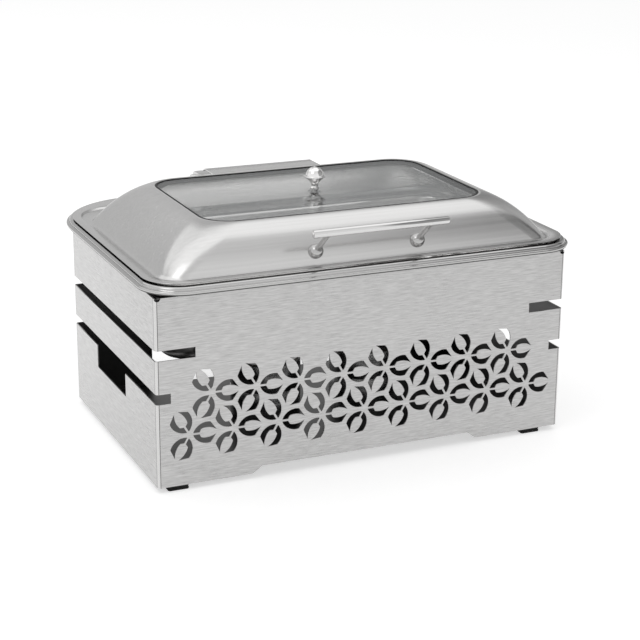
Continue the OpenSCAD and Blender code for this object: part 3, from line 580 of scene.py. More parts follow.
@dataclass
class Shape:
    """A mesh in the making, in millimetres."""

    name: str
    bm: bmesh.types.BMesh = field(default_factory=bmesh.new)

    def _circle(self, count: int, level: float = 0.0) -> list[bmesh.types.BMVert]:
        """Make a circle, whose corners are moved to their places later.

        Args:
            count: How many corners it has.
            level: Its height.

        Returns:
            Its vertices in order.
        """
        return bmesh.ops.create_circle(self.bm, segments=count, radius=1.0,
                                       matrix=Matrix.Translation((0, 0, level)))["verts"]

    @staticmethod
    def _edges(verts: Iterable[bmesh.types.BMVert]) -> list[bmesh.types.BMEdge]:
        """All edges at some vertices."""
        return list({edge for vert in verts for edge in vert.link_edges})

    def ring(self, points: Sequence[Vector]) -> list[bmesh.types.BMEdge]:
        """Make a closed loop of edges.

        Args:
            points: The loop's corners in order.

        Returns:
            The new edges.
        """
        made = self._circle(len(points))
        for vert, point in zip(made, points):
            vert.co = point
        return self._edges(made)

    def loft(self, loops: Sequence[Sequence[Vector]], closed: bool = False, cap_start: bool = False,
             cap_end: bool = False) -> None:
        """Join loops of points into a skin.

        The loops are joined as stacked circles, which only then move to their places, because loops
        that lie in one plane can be joined across each other.

        Args:
            loops: Loops with the same number of points, in order along the skin.
            closed: Whether the last loop joins the first.
            cap_start: Whether the first loop is filled.
            cap_end: Whether the last loop is filled.
        """
        stacked = [self._circle(len(points), index) for index, points in enumerate(loops)]
        rings = [self._edges(verts) for verts in stacked]
        pairs = list(zip(rings, rings[1:])) + ([(rings[-1], rings[0])] if closed else [])
        for first, second in pairs:
            bmesh.ops.bridge_loops(self.bm, edges=first + second)
        for wanted, edges in ((cap_start, rings[0]), (cap_end, rings[-1])):
            if wanted:
                bmesh.ops.contextual_create(self.bm, geom=edges)
        for verts, points in zip(stacked, loops):
            for vert, point in zip(verts, points):
                vert.co = point

    def spin(self, profile: Sequence[tuple[float, float]], matrix: Matrix, steps: int) -> None:
        """Turn a profile all the way round.

        Args:
            profile: Radius and height of each point.
            matrix: Where the turned shape goes, from an upright one on the origin.
            steps: Steps in the turn.
        """
        verts = [self.bm.verts.new((radius, 0.0, z)) for radius, z in profile]
        edges = [self.bm.edges.new(pair) for pair in zip(verts, verts[1:])]
        made = bmesh.ops.spin(self.bm, geom=verts + edges, cent=(0, 0, 0), axis=(0, 0, 1),
                              angle=math.tau, steps=steps, use_merge=True, use_duplicate=False)
        last = {item for item in made["geom_last"] if isinstance(item, bmesh.types.BMVert)}
        bmesh.ops.transform(self.bm, matrix=matrix, verts=self._connected(last.union(verts)))

    def _connected(self, start: Iterable[bmesh.types.BMVert]) -> list[bmesh.types.BMVert]:
        """All vertices joined to some.

        Args:
            start: The vertices to start from.

        Returns:
            Every vertex that edges lead to.
        """
        seen = {vert for vert in start if vert.is_valid}
        queue = list(seen)
        while queue:
            for edge in queue.pop().link_edges:
                for vert in edge.verts:
                    if vert not in seen:
                        seen.add(vert)
                        queue.append(vert)
        return list(seen)

    def prism(self, points: Sequence[Vector], along: Vector) -> None:
        """Push a flat outline through the air.

        Args:
            points: The outline's corners in order.
            along: How far and which way it is pushed.
        """
        face = bmesh.ops.contextual_create(self.bm, geom=self.ring(points))["faces"]
        pushed = bmesh.ops.extrude_face_region(self.bm, geom=face, use_keep_orig=True)["geom"]
        moved = [item for item in pushed if isinstance(item, bmesh.types.BMVert)]
        bmesh.ops.translate(self.bm, vec=along, verts=moved)

    def block(self, low: Sequence[float], high: Sequence[float]) -> None:
        """Add a plain block.

        Args:
            low: Its lowest corner.
            high: Its highest corner.
        """
        low, high = Vector(low), Vector(high)
        made = bmesh.ops.create_cube(self.bm, size=1.0)["verts"]
        bmesh.ops.scale(self.bm, vec=high - low, verts=made)
        bmesh.ops.translate(self.bm, vec=(low + high) / 2, verts=made)

    def face_up(self) -> None:
        """Turn the skin over if more of it faces down than up."""
        if sum(face.normal.z * face.calc_area() for face in self.bm.faces) < 0:
            bmesh.ops.reverse_faces(self.bm, faces=self.bm.faces)

    def thicken(self, thickness: float, lined: bool = False) -> None:
        """Give the skin a thickness behind its faces.

        Args:
            thickness: The sheet's thickness.
            lined: Whether the faces behind the first ones get the material index 1.
        """
        count = len(self.bm.faces)
        bmesh.ops.solidify(self.bm, geom=self.bm.faces[:], thickness=thickness)
        if not lined:
            return
        self.bm.faces.ensure_lookup_table()
        for face in self.bm.faces[count:]:
            face.material_index = 1

    def merge(self) -> None:
        """Merge doubled vertices and turn every face outwards."""
        bmesh.ops.remove_doubles(self.bm, verts=self.bm.verts, dist=WELD)
        bmesh.ops.recalc_face_normals(self.bm, faces=self.bm.faces)

    def finish(self, body: Body, material: bpy.types.Material, bevel: float = 0.0,
               merge: bool = True, sharp: float = 32.0, segments: int = 2,
               nodes: Sequence[str] = (),
               others: Sequence[bpy.types.Material] = ()) -> bpy.types.Object:
        """Make the object, scaled to metres.

        Args:
            body: The body that it rides on.
            material: Its material.
            bevel: Width of the bevel on its sharp edges, or 0 for none.
            merge: Whether doubles are merged and normals recalculated.
            sharp: Angle in degrees above which an edge stays sharp.
            segments: Segments of the bevel.
            nodes: CAD nodes that it stands for.
            others: Materials of the faces with index 1 and up.

        Returns:
            The new object.
        """
        if merge:
            self.merge()
        bmesh.ops.scale(self.bm, vec=(MM, MM, MM), verts=self.bm.verts)
        mesh = bpy.data.meshes.new(self.name)
        self.bm.to_mesh(mesh)
        self.bm.free()
        for used in (material, *others):
            mesh.materials.append(used)
        mesh.shade_smooth()
        mesh.set_sharp_from_angle(angle=math.radians(sharp))
        made = link(self.name, mesh)
        if bevel:
            edge = made.modifiers.new("edges", "BEVEL")
            edge.width, edge.segments = bevel * MM, segments
            edge.limit_method, edge.angle_limit = "ANGLE", math.radians(sharp)
            edge.harden_normals = True
        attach(made, body.value)
        if nodes:
            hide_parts(*nodes)
        LOG.info("%s: %d faces", self.name, len(mesh.polygons))
        return made


def arc(cx: float, cy: float, radius: float, start: float, end: float,
        steps: int) -> list[tuple[float, float]]:
    """Points along an arc.

    Args:
        cx: The centre's first coordinate.
        cy: The centre's second coordinate.
        radius: The arc's radius.
        start: Its first angle in degrees.
        end: Its last angle in degrees.
        steps: Steps between them.

    Returns:
        The points, both ends included.
    """
    angles = [math.radians(start + (end - start) * i / steps) for i in range(steps + 1)]
    return [(cx + radius * math.cos(a), cy + radius * math.sin(a)) for a in angles]


def lying(x: float, y: float, z: float) -> Matrix:
    """Matrix that lays a turned shape along X, starting from a point."""
    return Matrix.Translation((x, y, z)) @ Matrix.Rotation(math.pi / 2, 4, "Y")


def dress(node: str, material: bpy.types.Material) -> None:
    """Give a CAD node that stays in view its finish.

    Args:
        node: The node's name.
        material: Its material.
    """
    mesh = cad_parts[node].data
    mesh.materials.clear()
    mesh.materials.append(material)
    LOG.info("%s: dressed", node)


@dataclass
class Lattice:
    """The two rows of pierced flowers, as a real sheet is laser cut."""

    pitch: float = 58.42
    hub_z: float = 64.5
    count: int = 9
    shift: float = -4.7
    root: float = 4.8
    reach: float = 35.7
    rib: float = 2.5
    outer: tuple[float, float, float] = (22.5, -5.3, 19.3)
    inner: tuple[float, float, float] = (21.5, -17.5, 24.0)
    tip: tuple[float, float] = (25.2, 16.0)
    fork: tuple[float, float] = (11.9, 0.25)
    fork_end: tuple[float, float] = (20.9, 16.0)
    steps: int = 8

    @staticmethod
    def _cross(disc: tuple[float, float, float], a: Vector, b: Vector) -> Vector:
        """Where a line leaves a disc.

        Args:
            disc: The disc's centre and radius.
            a: A point on the line inside the disc.
            b: A point on the line outside it.

        Returns:
            The crossing between the two points.
        """
        centre, along = Vector(disc[:2]), b - a
        start = a - centre
        half = start.dot(along)
        root = math.sqrt(half * half - along.length_squared * (start.length_squared - disc[2] ** 2))
        return a + along * ((root - half) / along.length_squared)

    def half_petal(self) -> list[Vector]:
        """Half of a petal, above its rib.

        Returns:
            Its corners in the petal's own frame.
        """
        rib = self.rib / 2
        foot = Vector((self.root, rib))
        fork, fork_end = Vector(self.fork), Vector(self.fork_end)
        split = fork + (fork_end - fork) * ((rib - fork.y) / (fork_end.y - fork.y))
        lower = self._cross(self.inner, fork, fork_end)
        tip_foot, tip = Vector((self.reach, rib)), Vector(self.tip)
        inner_end = self._cross(self.inner, tip_foot, tip)
        outer_end = self._cross(self.outer, tip_foot, tip)
        outer_start = self._cross(self.outer, foot, Vector((self.root, self.tip[1])))
        under = self._sweep(self.inner, lower, inner_end)
        over = self._sweep(self.outer, outer_end, outer_start)
        return [foot, split, *under, *over]

    def _sweep(self, disc: tuple[float, float, float], start: Vector, end: Vector) -> list[Vector]:
        """Points along a disc's upper edge between two of its points.

        Args:
            disc: The disc's centre and radius.
            start: The first point.
            end: The last point.

        Returns:
            The points, both ends included.
        """
        first, last = (math.degrees(math.atan2(p.y - disc[1], p.x - disc[0])) for p in (start, end))
        return [Vector(p) for p in arc(disc[0], disc[1], disc[2], first, last, self.steps)]

    def holes(self, base_z: float) -> list[list[Vector]]:
        """Every cut-out, in the sheet's own flat frame.

        Args:
            base_z: Height of the sheet's bottom.

        Returns:
            The corners of each hole.
        """
        shape = self.half_petal()
        made: list[list[Vector]] = []
        for row in (0, 1):
            for index in range(self.count - row):
                hub = Vector((self.shift + (index - (self.count - row - 1) / 2) * self.pitch,
                              base_z + self.hub_z + row * self.pitch * math.sqrt(0.75)))
                for turn in range(3):
                    spin = Matrix.Rotation(math.radians(120 * turn), 2)
                    for side in (1, -1):
                        made.append([hub + spin @ Vector((p.x, p.y * side)) for p in shape])
        return made


@dataclass
class Stand:
    """The folded skirt, its rear sheet, the burner shelf and the feet."""

    finishes: Finishes
    sheet: float = 1.5
    bend: float = 4.0
    relief: float = 4.2
    front_foot: float = 124.0
    rise: float = 8.8
    slope: float = 12.0
    slot_h: float = 13.0
    upper_z: float = 163.0
    upper_wrap: float = 50.8
    lower_z: float = 108.0
    lower_wrap: float = 18.6
    hand: tuple[float, float, float] = (-51.05, 70.45, 30.6)
    top_flange: float = 12.0
    foot_flange: float = 26.0
    seam: float = 0.05
    highlight_turn: tuple[float, float] = (10.0, 80.0)
    shelf_sheet: float = 1.2
    shelf_in: float = 24.0
    bend_steps: int = 8
    notch_steps: int = 10

    INNER_SHADE = 1
    SHADE_LINE = 2
    FOLD_HIGHLIGHT = 3

    def __post_init__(self) -> None:
        """Read the stand's box from the frame."""
        self.box = Box.of("left_side", "right_side")
        self.rear_box = Box.of("rear_panel")
        self.flat = self.box.size.x / 2 - self.bend
        self.turn = self.bend * math.pi / 2
        self.run = self.box.size.y - 2 * self.bend
        self.back = self.flat + self.turn
        self.far = self.back + self.run
        self.end = self.far + self.turn + self.flat - self.rear_box.high.x

    def _folded(self, u: float, z: float) -> Vector:
        """Where a point of the flat sheet lies once the sheet is folded.

        Args:
            u: Distance along the flat sheet from the middle of the front.
            z: Height.

        Returns:
            The point on the sheet's outer face.
        """
        side, u = (1.0 if u >= 0 else -1.0), abs(u)
        x0, front, rear = self.flat, self.box.low.y, self.box.high.y
        if u <= self.flat:
            return Vector((side * u, front, z))
        if u <= self.back:
            a = (u - self.flat) / self.bend
            out, along = self.bend * math.sin(a), self.bend * (1 - math.cos(a))
            return Vector((side * (x0 + out), front + along, z))
        if u <= self.far:
            return Vector((side * (x0 + self.bend), front + self.bend + u - self.back, z))
        if u <= self.far + self.turn:
            a = (u - self.far) / self.bend
            out, along = self.bend * math.cos(a), self.bend * (1 - math.sin(a))
            return Vector((side * (x0 + out), rear - along, z))
        return Vector((side * (x0 - (u - self.far - self.turn)), rear, z))

    def _edge(self) -> list[Vector]:
        """Outer edge of the flat sheet.

        Returns:
            Its corners in order.
        """
        z0, z1 = self.box.low.z, self.box.high.z
        foot = self.box.size.x / 2 - self.front_foot
        right = [Vector((self.end, z0)), Vector((self.end, z1))]
        notch = [Vector(p) for p in arc(self.flat, z1, self.relief, 0, -180, self.notch_steps)]
        top = [*right, *notch]
        mirrored = [Vector((-p.x, p.y)) for p in reversed(top)]
        raised = [Vector((-foot, z0)), Vector((self.slope - foot, z0 + self.rise)),
                  Vector((foot - self.slope, z0 + self.rise)), Vector((foot, z0))]
        return [*top, *mirrored, *raised]

    def _slots(self) -> list[list[Vector]]:
        """Long slots of both ends, the lower ones with the hand notch.

        Returns:
            The corners of each slot in order.
        """
        base, half = self.box.low.z, self.box.size.x / 2
        after = self.far + self.turn
        low, high = base + self.lower_z, base + self.lower_z + self.slot_h
        up = base + self.upper_z
        u0, v0 = half - self.upper_wrap, half - self.lower_wrap
        u1, v1 = after + self.flat - u0, after + self.flat - v0
        middle = self.back + self.run / 2
        n0, n1, deep = middle + self.hand[0], middle + self.hand[1], low - self.hand[2]
        upper = [(u0, up), (u1, up), (u1, up + self.slot_h), (u0, up + self.slot_h)]
        lower = [(v0, low), (n0, low), (n0, deep), (n1, deep), (n1, low), (v1, low), (v1, high),
                 (v0, high)]
        made = [[Vector(p) for p in loop] for loop in (upper, lower)]
        return made + [[Vector((-p.x, p.y)) for p in loop] for loop in made]

    def skirt(self) -> None:
        """Front, ends and rear returns in one folded sheet, with its flanges."""
        shape = Shape("stand_skirt")
        loops = [self._edge(), *self._slots(), *Lattice().holes(self.box.low.z)]
        edges = [edge for loop in loops for edge in shape.ring([Vector((p.x, p.y, 0)) for p in loop])]
        bmesh.ops.triangle_fill(shape.bm, use_beauty=True, use_dissolve=False, edges=edges,
                                normal=(0, 0, 1))
        for start in (self.flat, self.far):
            for step in range(self.bend_steps + 1):
                for side in (-1, 1):
                    place = side * (start + self.turn * step / self.bend_steps)
                    everything = [*shape.bm.verts, *shape.bm.edges, *shape.bm.faces]
                    bmesh.ops.bisect_plane(shape.bm, geom=everything, dist=CUT,
                                           plane_co=(place, 0, 0), plane_no=(1, 0, 0))
        for vert in shape.bm.verts:
            vert.co = self._folded(vert.co.x, vert.co.y)
        bmesh.ops.remove_doubles(shape.bm, verts=shape.bm.verts, dist=WELD)
        front = [face for face in shape.bm.faces if face.calc_center_median().y < self.box.low.y + 0.01]
        if sum(face.normal.y for face in front) > 0:
            bmesh.ops.reverse_faces(shape.bm, faces=shape.bm.faces)
        shape.thicken(self.sheet)
        self._flanges(shape)
        self._shade_inner(shape)
        self._paint_bends(shape)
        shape.finish(Body.STAND, self.finishes.get("skirt"), bevel=0.22, merge=False,
                     segments=1, nodes=("front_panel", "left_side", "right_side"),
                     others=[self.finishes.get(name) for name in ("inner_shade", "shade_line", "fold_highlight")])

    def _shade_inner(self, shape: Shape) -> None:
        """Mark the faces on the inside of the sheets with painted shade, a dark copy of the sheet for
        the stand's dark inside.

        Args:
            shape: The mesh to mark.
        """
        deep = self.sheet - 0.05
        low, high = self.box.low, self.box.high
        for face in shape.bm.faces:
            at = face.calc_center_median()
            if low.y + deep < at.y < high.y - deep and abs(at.x) < high.x - deep:
                face.material_index = self.INNER_SHADE

    def _paint_bends(self, shape: Shape) -> None:
        """Paint the bends: a painted highlight across their middle, brighter than the sheet, and
        painted shade lines along their edges.

        Args:
            shape: The mesh to mark.
        """
        for face in shape.bm.faces:
            at = face.calc_center_median()
            past = max(self.box.low.y - at.y, at.y - self.box.high.y) + self.bend
            out = Vector((abs(at.x) - self.flat, past))
            if min(out) > 0.01 and out.length > self.bend - 0.2:
                turned = math.degrees(math.atan2(out.x, out.y))
                # Faces turned within the middle range get the painted highlight, and the rest of each
                # bend gets painted shade.
                bright = self.highlight_turn[0] < turned < self.highlight_turn[1]
                face.material_index = self.FOLD_HIGHLIGHT if bright else self.SHADE_LINE

    def _flanges(self, shape: Shape) -> None:
        """Add the flanges folded in along the top and bottom.

        Args:
            shape: The skirt's mesh.
        """
        low, high, t = self.box.low, self.box.high, self.sheet
        half, access = self.box.size.x / 2, self.rear_box.high.x
        foot = half - self.front_foot
        for z0, wide in ((high.z - t, self.top_flange), (low.z, self.foot_flange)):
            z1 = z0 + t
            start = 0.0 if z0 > low.z else foot
            for side in (-1, 1):
                for x0, y0, x1, y1 in ((start, low.y + t, self.flat, low.y + wide),
                                       (half - wide, low.y + wide + self.seam, half - t, high.y - t),
                                       (access, high.y - wide, half - wide - self.seam, high.y - t)):
                    left, right = sorted((side * x0, side * x1))
                    shape.block((left, y0, z0), (right, y1, z1))

    def rear(self) -> None:
        """Sheet above the burner access, with its top flange."""
        box, t = self.rear_box, self.sheet
        shape = Shape("rear_sheet")
        shape.block((box.low.x, box.high.y - t, box.low.z), (box.high.x, box.high.y, box.high.z))
        shape.block((box.low.x, box.low.y, box.high.z - t),
                    (box.high.x, box.high.y - t - self.seam, box.high.z))
        self._shade_inner(shape)
        shape.finish(Body.STAND, self.finishes.get("skirt"), bevel=0.25, merge=False,
                     nodes=("rear_panel",), others=[self.finishes.get("inner_shade")])

    def shelf(self) -> None:
        """Burner shelf, set back between the front feet, with its lips."""
        box, access = Box.of("burner_shelf"), self.rear_box.high.x
        t, foot = self.shelf_sheet, self.box.size.x / 2 - self.front_foot
        half, front, back = box.size.x / 2, box.low.y, box.high.y
        inner = front + self.shelf_in
        plan = [(-half, front), (-foot, front), (-foot, inner), (foot, inner), (foot, front),
                (half, front), (half, back), (-half, back)]
        shape = Shape("shelf_tray")
        shape.prism([Vector((x, y, box.low.z)) for x, y in plan], Vector((0, 0, t)))
        for x0, x1, y in ((-half, -foot, front), (foot, half, front), (-foot, foot, inner),
                          (-half, -access, back - t), (access, half, back - t)):
            shape.block((x0, y, box.low.z + t), (x1, y + t, box.high.z))
        # The shelf's finish is painted shade for the shadow inside the stand.
        shape.finish(Body.STAND, self.finishes.get("shelf"), bevel=0.4,
                     nodes=("burner_shelf",))

    def feet(self) -> None:
        """Four moulded rubber feet, oblong, with a groove round them."""
        box = Box.of("rubber_feet")
        wide, deep, corner, groove, rib = 13.5, 11.5, 3.0, 1.0, 2.6
        z0, z1 = box.low.z, box.high.z
        low_rib, high_rib = z0 + rib, z1 - rib
        rows = [(0.8, z0), (0.2, z0 + 0.2), (0.0, z0 + 0.8), (0.0, low_rib - 0.4), (0.3, low_rib),
                (groove, low_rib + 0.2), (groove, high_rib - 0.2), (0.3, high_rib),
                (0.0, high_rib + 0.4), (0.0, z1 - 0.4), (0.4, z1)]
        shape = Shape("moulded_feet")
        for x in (box.low.x + wide, box.high.x - wide):
            for y in (box.low.y + deep, box.high.y - deep):
                plan = Outline(wide, y - deep, y + deep, corner, corner)
                loops = [[point + Vector((x, 0, 0)) for point in plan.inset(u).points(z, 5)]
                         for u, z in rows]
                shape.loft(loops, cap_start=True, cap_end=True)
        shape.finish(Body.STAND, self.finishes.get("rubber"), nodes=("rubber_feet",))

    def build(self) -> None:
        """Build and dress the stand."""
        self.skirt()
        self.rear()
        self.shelf()
        self.feet()
        for node in ("shelf_rivets", "foot_screws"):
            dress(node, self.finishes.get("fixing"))


@dataclass
class Burner:
    """One fuel holder with its can and swivelling snuffer."""

    finishes: Finishes
    side: str
    wall: float = 1.2
    floor: float = 22.0
    bead: float = 0.9
    rim_r: float = 1.6
    mouth_r: float = 14.0
    boss_r: float = 5.0
    boss_h: float = 24.0
    disc: float = 1.2
    grip_h: float = 7.0
    grip_out: float = 23.5

    def build(self) -> None:
        """Build the holder, the can and the snuffer."""
        can = Box.of(f"fuel_can_{self.side}")
        holder = Box.of(f"fuel_holder_{self.side}")
        centre = Matrix.Translation((can.middle.x, can.middle.y, holder.low.z))
        burner = Body(f"burner_{self.side}")
        self._holder(holder, can, centre, burner)
        self._can(can, burner)
        self._snuffer(can)

    def _holder(self, box: Box, can: Box, centre: Matrix, body: Body) -> None:
        """Spun cup with a rolled rim, two pressed beads and a pivot boss.

        Args:
            box: The holder's box.
            can: The can's box.
            centre: Place of the cup's axis at the shelf.
            body: The body that it rides on.
        """
        r, h = box.size.x / 2, box.size.z - self.rim_r
        low, bead = self.floor, self.bead
        inner, ridge = r - self.wall - bead, h * 0.55
        wall = [(r, 0.0), (r, 8.0), (r - bead, 9.5), (r - bead, 11.5), (r, 13.0), (r, ridge),
                (r - bead, ridge + 1.5), (r - bead, ridge + 3.5), (r, ridge + 5.0)]
        rim = arc(r - self.rim_r, h, self.rim_r, 0, 200, 10)
        inside = [(inner, h - 3.0), (inner, low + 4.0), (inner - 3.0, low + self.wall),
                  (0.0, low + self.wall)]
        under = [(0.0, low), (inner - 3.0, low), (r - self.wall - 0.2, low - 3.0),
                 (r - self.wall, 0.0), (r, 0.0)]
        shape = Shape(f"holder_cup_{self.side}")
        shape.spin([*wall, *rim, *inside, *under], centre, 72)
        x, br, bh = can.middle.x, self.boss_r, self.boss_h
        boss = Matrix.Translation((x, box.high.y - br, box.low.z + h - bh))
        shape.spin([(2.05, bh), (br - 0.6, bh), (br, bh - 0.6), (br, 0.6), (br - 0.6, 0.0), (0.0, 0.0)],
                   boss, 28)
        shape.block((x - 2.0, can.middle.y + r - 0.6, box.low.z + h - bh + 1.0),
                    (x + 2.0, box.high.y - br - 3.0, box.low.z + h - 3.0))
        shape.finish(body, self.finishes.get("holder"), nodes=(f"fuel_holder_{self.side}",))

    def _can(self, box: Box, body: Body) -> None:
        """Plain fuel can with rolled seams and a recessed mouth.

        Args:
            box: The can's box.
            body: The body that it rides on.
        """
        r, h, seam = box.size.y / 2, box.size.z, 1.3
        wall, mouth = r - 0.9, self.mouth_r
        profile = [(0.0, 1.2), (r - 3.5, 1.2), *arc(r - seam, seam, seam, -110, 60, 6), (wall, 3.6),
                   (wall, h - 3.6), *arc(r - seam, h - seam, seam, -60, 150, 8), (r - 3.4, h - 3.2),
                   (mouth + 3.0, h - 3.2), (mouth + 1.8, h - 1.6), (mouth, h - 1.6), (mouth, h - 5.0),
                   (0.0, h - 5.0)]
        shape = Shape(f"can_tin_{self.side}")
        shape.spin(profile, Matrix.Translation((box.middle.x, box.middle.y, box.low.z)), 64)
        shape.finish(body, self.finishes.get("tin"), nodes=(f"fuel_can_{self.side}",))

    def _snuffer(self, can: Box) -> None:
        """Pressed snuffer disc with its arm, pivot pin and turned grip.

        Args:
            can: The can's box, which gives the cup's axis.
        """
        box = Box.of(f"snuffer_{self.side}")
        r, t, top = box.size.x / 2, self.disc, self.grip_h
        x, y, z = can.middle.x, can.middle.y, box.high.z - top
        shape = Shape(f"snuffer_disc_{self.side}")
        middle = Matrix.Translation((x, y, z))
        shape.spin([(0.0, 0.5), (r - 9.0, 0.5), (r - 7.0, 0.0), (r - 0.3, 0.0), (r, 0.3), (r, t - 0.3),
                    (r - 0.3, t), (r - 7.5, t), (r - 9.5, t + 0.5), (0.0, t + 0.5)], middle, 72)
        pivot_y, low = box.high.y - self.boss_r, box.low.z - z
        shape.block((x - 4.0, y + r - 2.0, z + 0.1), (x + 4.0, pivot_y, z + t - 0.1))
        shape.spin([(0.0, low), (1.6, low), (2.0, low + 0.4), (2.0, 0.0), (self.boss_r, 0.0),
                    (self.boss_r, t), (3.2, t), (3.0, t + 1.2), (1.8, t + 1.8), (0.0, t + 1.9)],
                   Matrix.Translation((x, pivot_y, z)), 28)
        shape.spin([(0.0, t), (2.6, t), (2.2, 3.4), *arc(0.0, 3.4, 4.0, 10, 60, 4), (1.6, top),
                    (0.0, top)], Matrix.Translation((x, y - self.grip_out, z)), 28)
        shape.finish(Body(f"snuffer_{self.side}"), self.finishes.get("polished"),
                     nodes=(f"snuffer_{self.side}",))


@dataclass
class Pans:
    """Water pan with its polished rim, and the full-size food pan in it."""

    finishes: Finishes
    steps: int = 14
    sheet: float = 1.2
    lip_r: tuple[float, float] = (54.0, 120.0)
    rim_top: float = 0.9
    rim_under: float = 1.0
    rim_width: float = 14.0
    rim_bead: float = 1.9
    rim_step: float = 4.0
    rim_roll: float = 4.0
    food_r: float = 22.0
    food_sheet: float = 0.9
    food_in: float = 13.7
    food_wall_r: float = 34.0
    step_in: tuple[float, float] = (5.0, 3.0)
    step_r: float = 14.0
    well_in: float = 9.0
    well_r: float = 39.5
    bottom_r: float = 14.0

    def __post_init__(self) -> None:
        """Read the pans' boxes and outlines from the frame."""
        self.rim_box = Box.of("pan_rim")
        self.water_box = Box.of("water_pan")
        self.food_box = Box.of("food_pan")
        self.stand = Box.of("left_side", "right_side")
        rim = self.rim_box
        self.lip = Outline(rim.size.x / 2, rim.low.y, rim.high.y, *self.lip_r)

    def _loops(self, rows: Sequence[tuple[Outline, float]]) -> list[list[Vector]]:
        """Loops of points for a loft.

        Args:
            rows: Outline and height of each loop.

        Returns:
            The loops.
        """
        return [outline.points(z, self.steps) for outline, z in rows]

    def rim(self) -> None:
        """Rolled rim: edge turned under, bead, shallow hollow and a rounded top edge."""
        z0, z1 = self.rim_box.low.z, self.rim_box.high.z - self.rim_top
        bead, step, roll, width = self.rim_bead, self.rim_step, self.rim_roll, self.rim_width
        under = z0 - self.rim_under
        profile = [(-width, z1 - 0.6), (-width, z0), (-bead - 1.2, z0), (-bead - 1.2, under),
                   (-bead + 0.5, under)]
        profile += arc(-bead, z0 + bead, bead, -70, 100, 8)
        profile += [(-step + 0.8, z0 + 2 * bead + 0.1), (-step + 0.2, z0 + 2 * bead + 0.9),
                    (-step, z1 - roll - 0.2)]
        profile += arc(-step - roll + 0.3, z1 - roll + 0.3, roll - 0.3, 0, 90, 8)
        profile += [(-width + 0.6, z1)]
        shape = Shape("rolled_rim")
        shape.loft(self._loops([(self.lip.inset(-u), z) for u, z in profile]), closed=True)
        # The faces of the turned-under edge get painted shade, a dark line below the bead.
        for face in shape.bm.faces:
            face.material_index = int(face.calc_center_median().z < z0 + 0.05)
        shape.finish(Body.PANS, self.finishes.get("rim"), sharp=38.0, nodes=("pan_rim",),
                     others=[self.finishes.get("shade_line")])

    def water(self) -> None:
        """Deep-drawn water pan: ledge, step, seat, well and round bottom."""
        box, seat = self.water_box, self.stand.high.z
        ledge = self.rim_box.low.z
        well = Outline.round_box(self.food_box, self.food_r, self.well_in)
        well = replace(well, r_front=self.well_r, r_rear=self.well_r)
        in_x, in_y = self.step_in
        step = Outline(self.stand.size.x / 2 - in_x, self.stand.low.y + in_y,
                       self.stand.high.y - in_y, self.step_r, self.step_r)
        floor, br = box.low.z + self.sheet, self.bottom_r
        rest = seat + self.sheet
        rows = [(self.lip.inset(5.0), ledge), (step, ledge), (step.inset(1.2), ledge - 1.0),
                (step.inset(1.4), rest + 0.8), (step.inset(2.4), rest), (well.inset(-1.5), rest),
                (well.inset(-0.3), rest - 0.8), (well, seat - 2.0)]
        rows += [(well.inset(-u), z) for u, z in arc(-br, floor + br, br, 0, -90, 6)]
        shape = Shape("drawn_water_pan")
        shape.loft(self._loops(rows), cap_end=True)
        shape.merge()
        shape.face_up()
        # The upper faces take the pan finish; the faces behind take its dark copy as painted shade.
        shape.thicken(self.sheet - 0.1, lined=True)
        shape.finish(Body.PANS, self.finishes.get("pan"), merge=False,
                     nodes=("water_pan",), others=[self.finishes.get("well")])

    def food(self) -> None:
        """Full-size food pan with its stiffened rim, drawn walls and round bottom."""
        box = self.food_box
        rim = Outline.round_box(box, self.food_r)
        body = replace(rim.inset(self.food_in), r_front=self.food_wall_r, r_rear=self.food_wall_r)
        top, floor, br = box.high.z, box.low.z + self.sheet, self.bottom_r
        rows = [(rim, top - 4.4), (rim, top - 1.2), (rim.inset(1.0), top - 0.2), (rim.inset(2.2), top),
                (rim.inset(11.0), top), (body.inset(-1.2), top - 0.4), (body.inset(-0.3), top - 1.6),
                (body, top - 3.0), (body.inset(3.0), top - 30.0)]
        rows += [(body.inset(-u), z) for u, z in arc(-br - 5.0, floor + br, br, 0, -90, 6)]
        shape = Shape("drawn_food_pan")
        shape.loft(self._loops(rows), cap_end=True)
        shape.merge()
        shape.face_up()
        shape.thicken(self.food_sheet)
        shape.finish(Body.PANS, self.finishes.get("pan"), merge=False, nodes=("food_pan",))

    def build(self) -> None:
        """Build the pans."""
        self.rim()
        self.water()
        self.food()


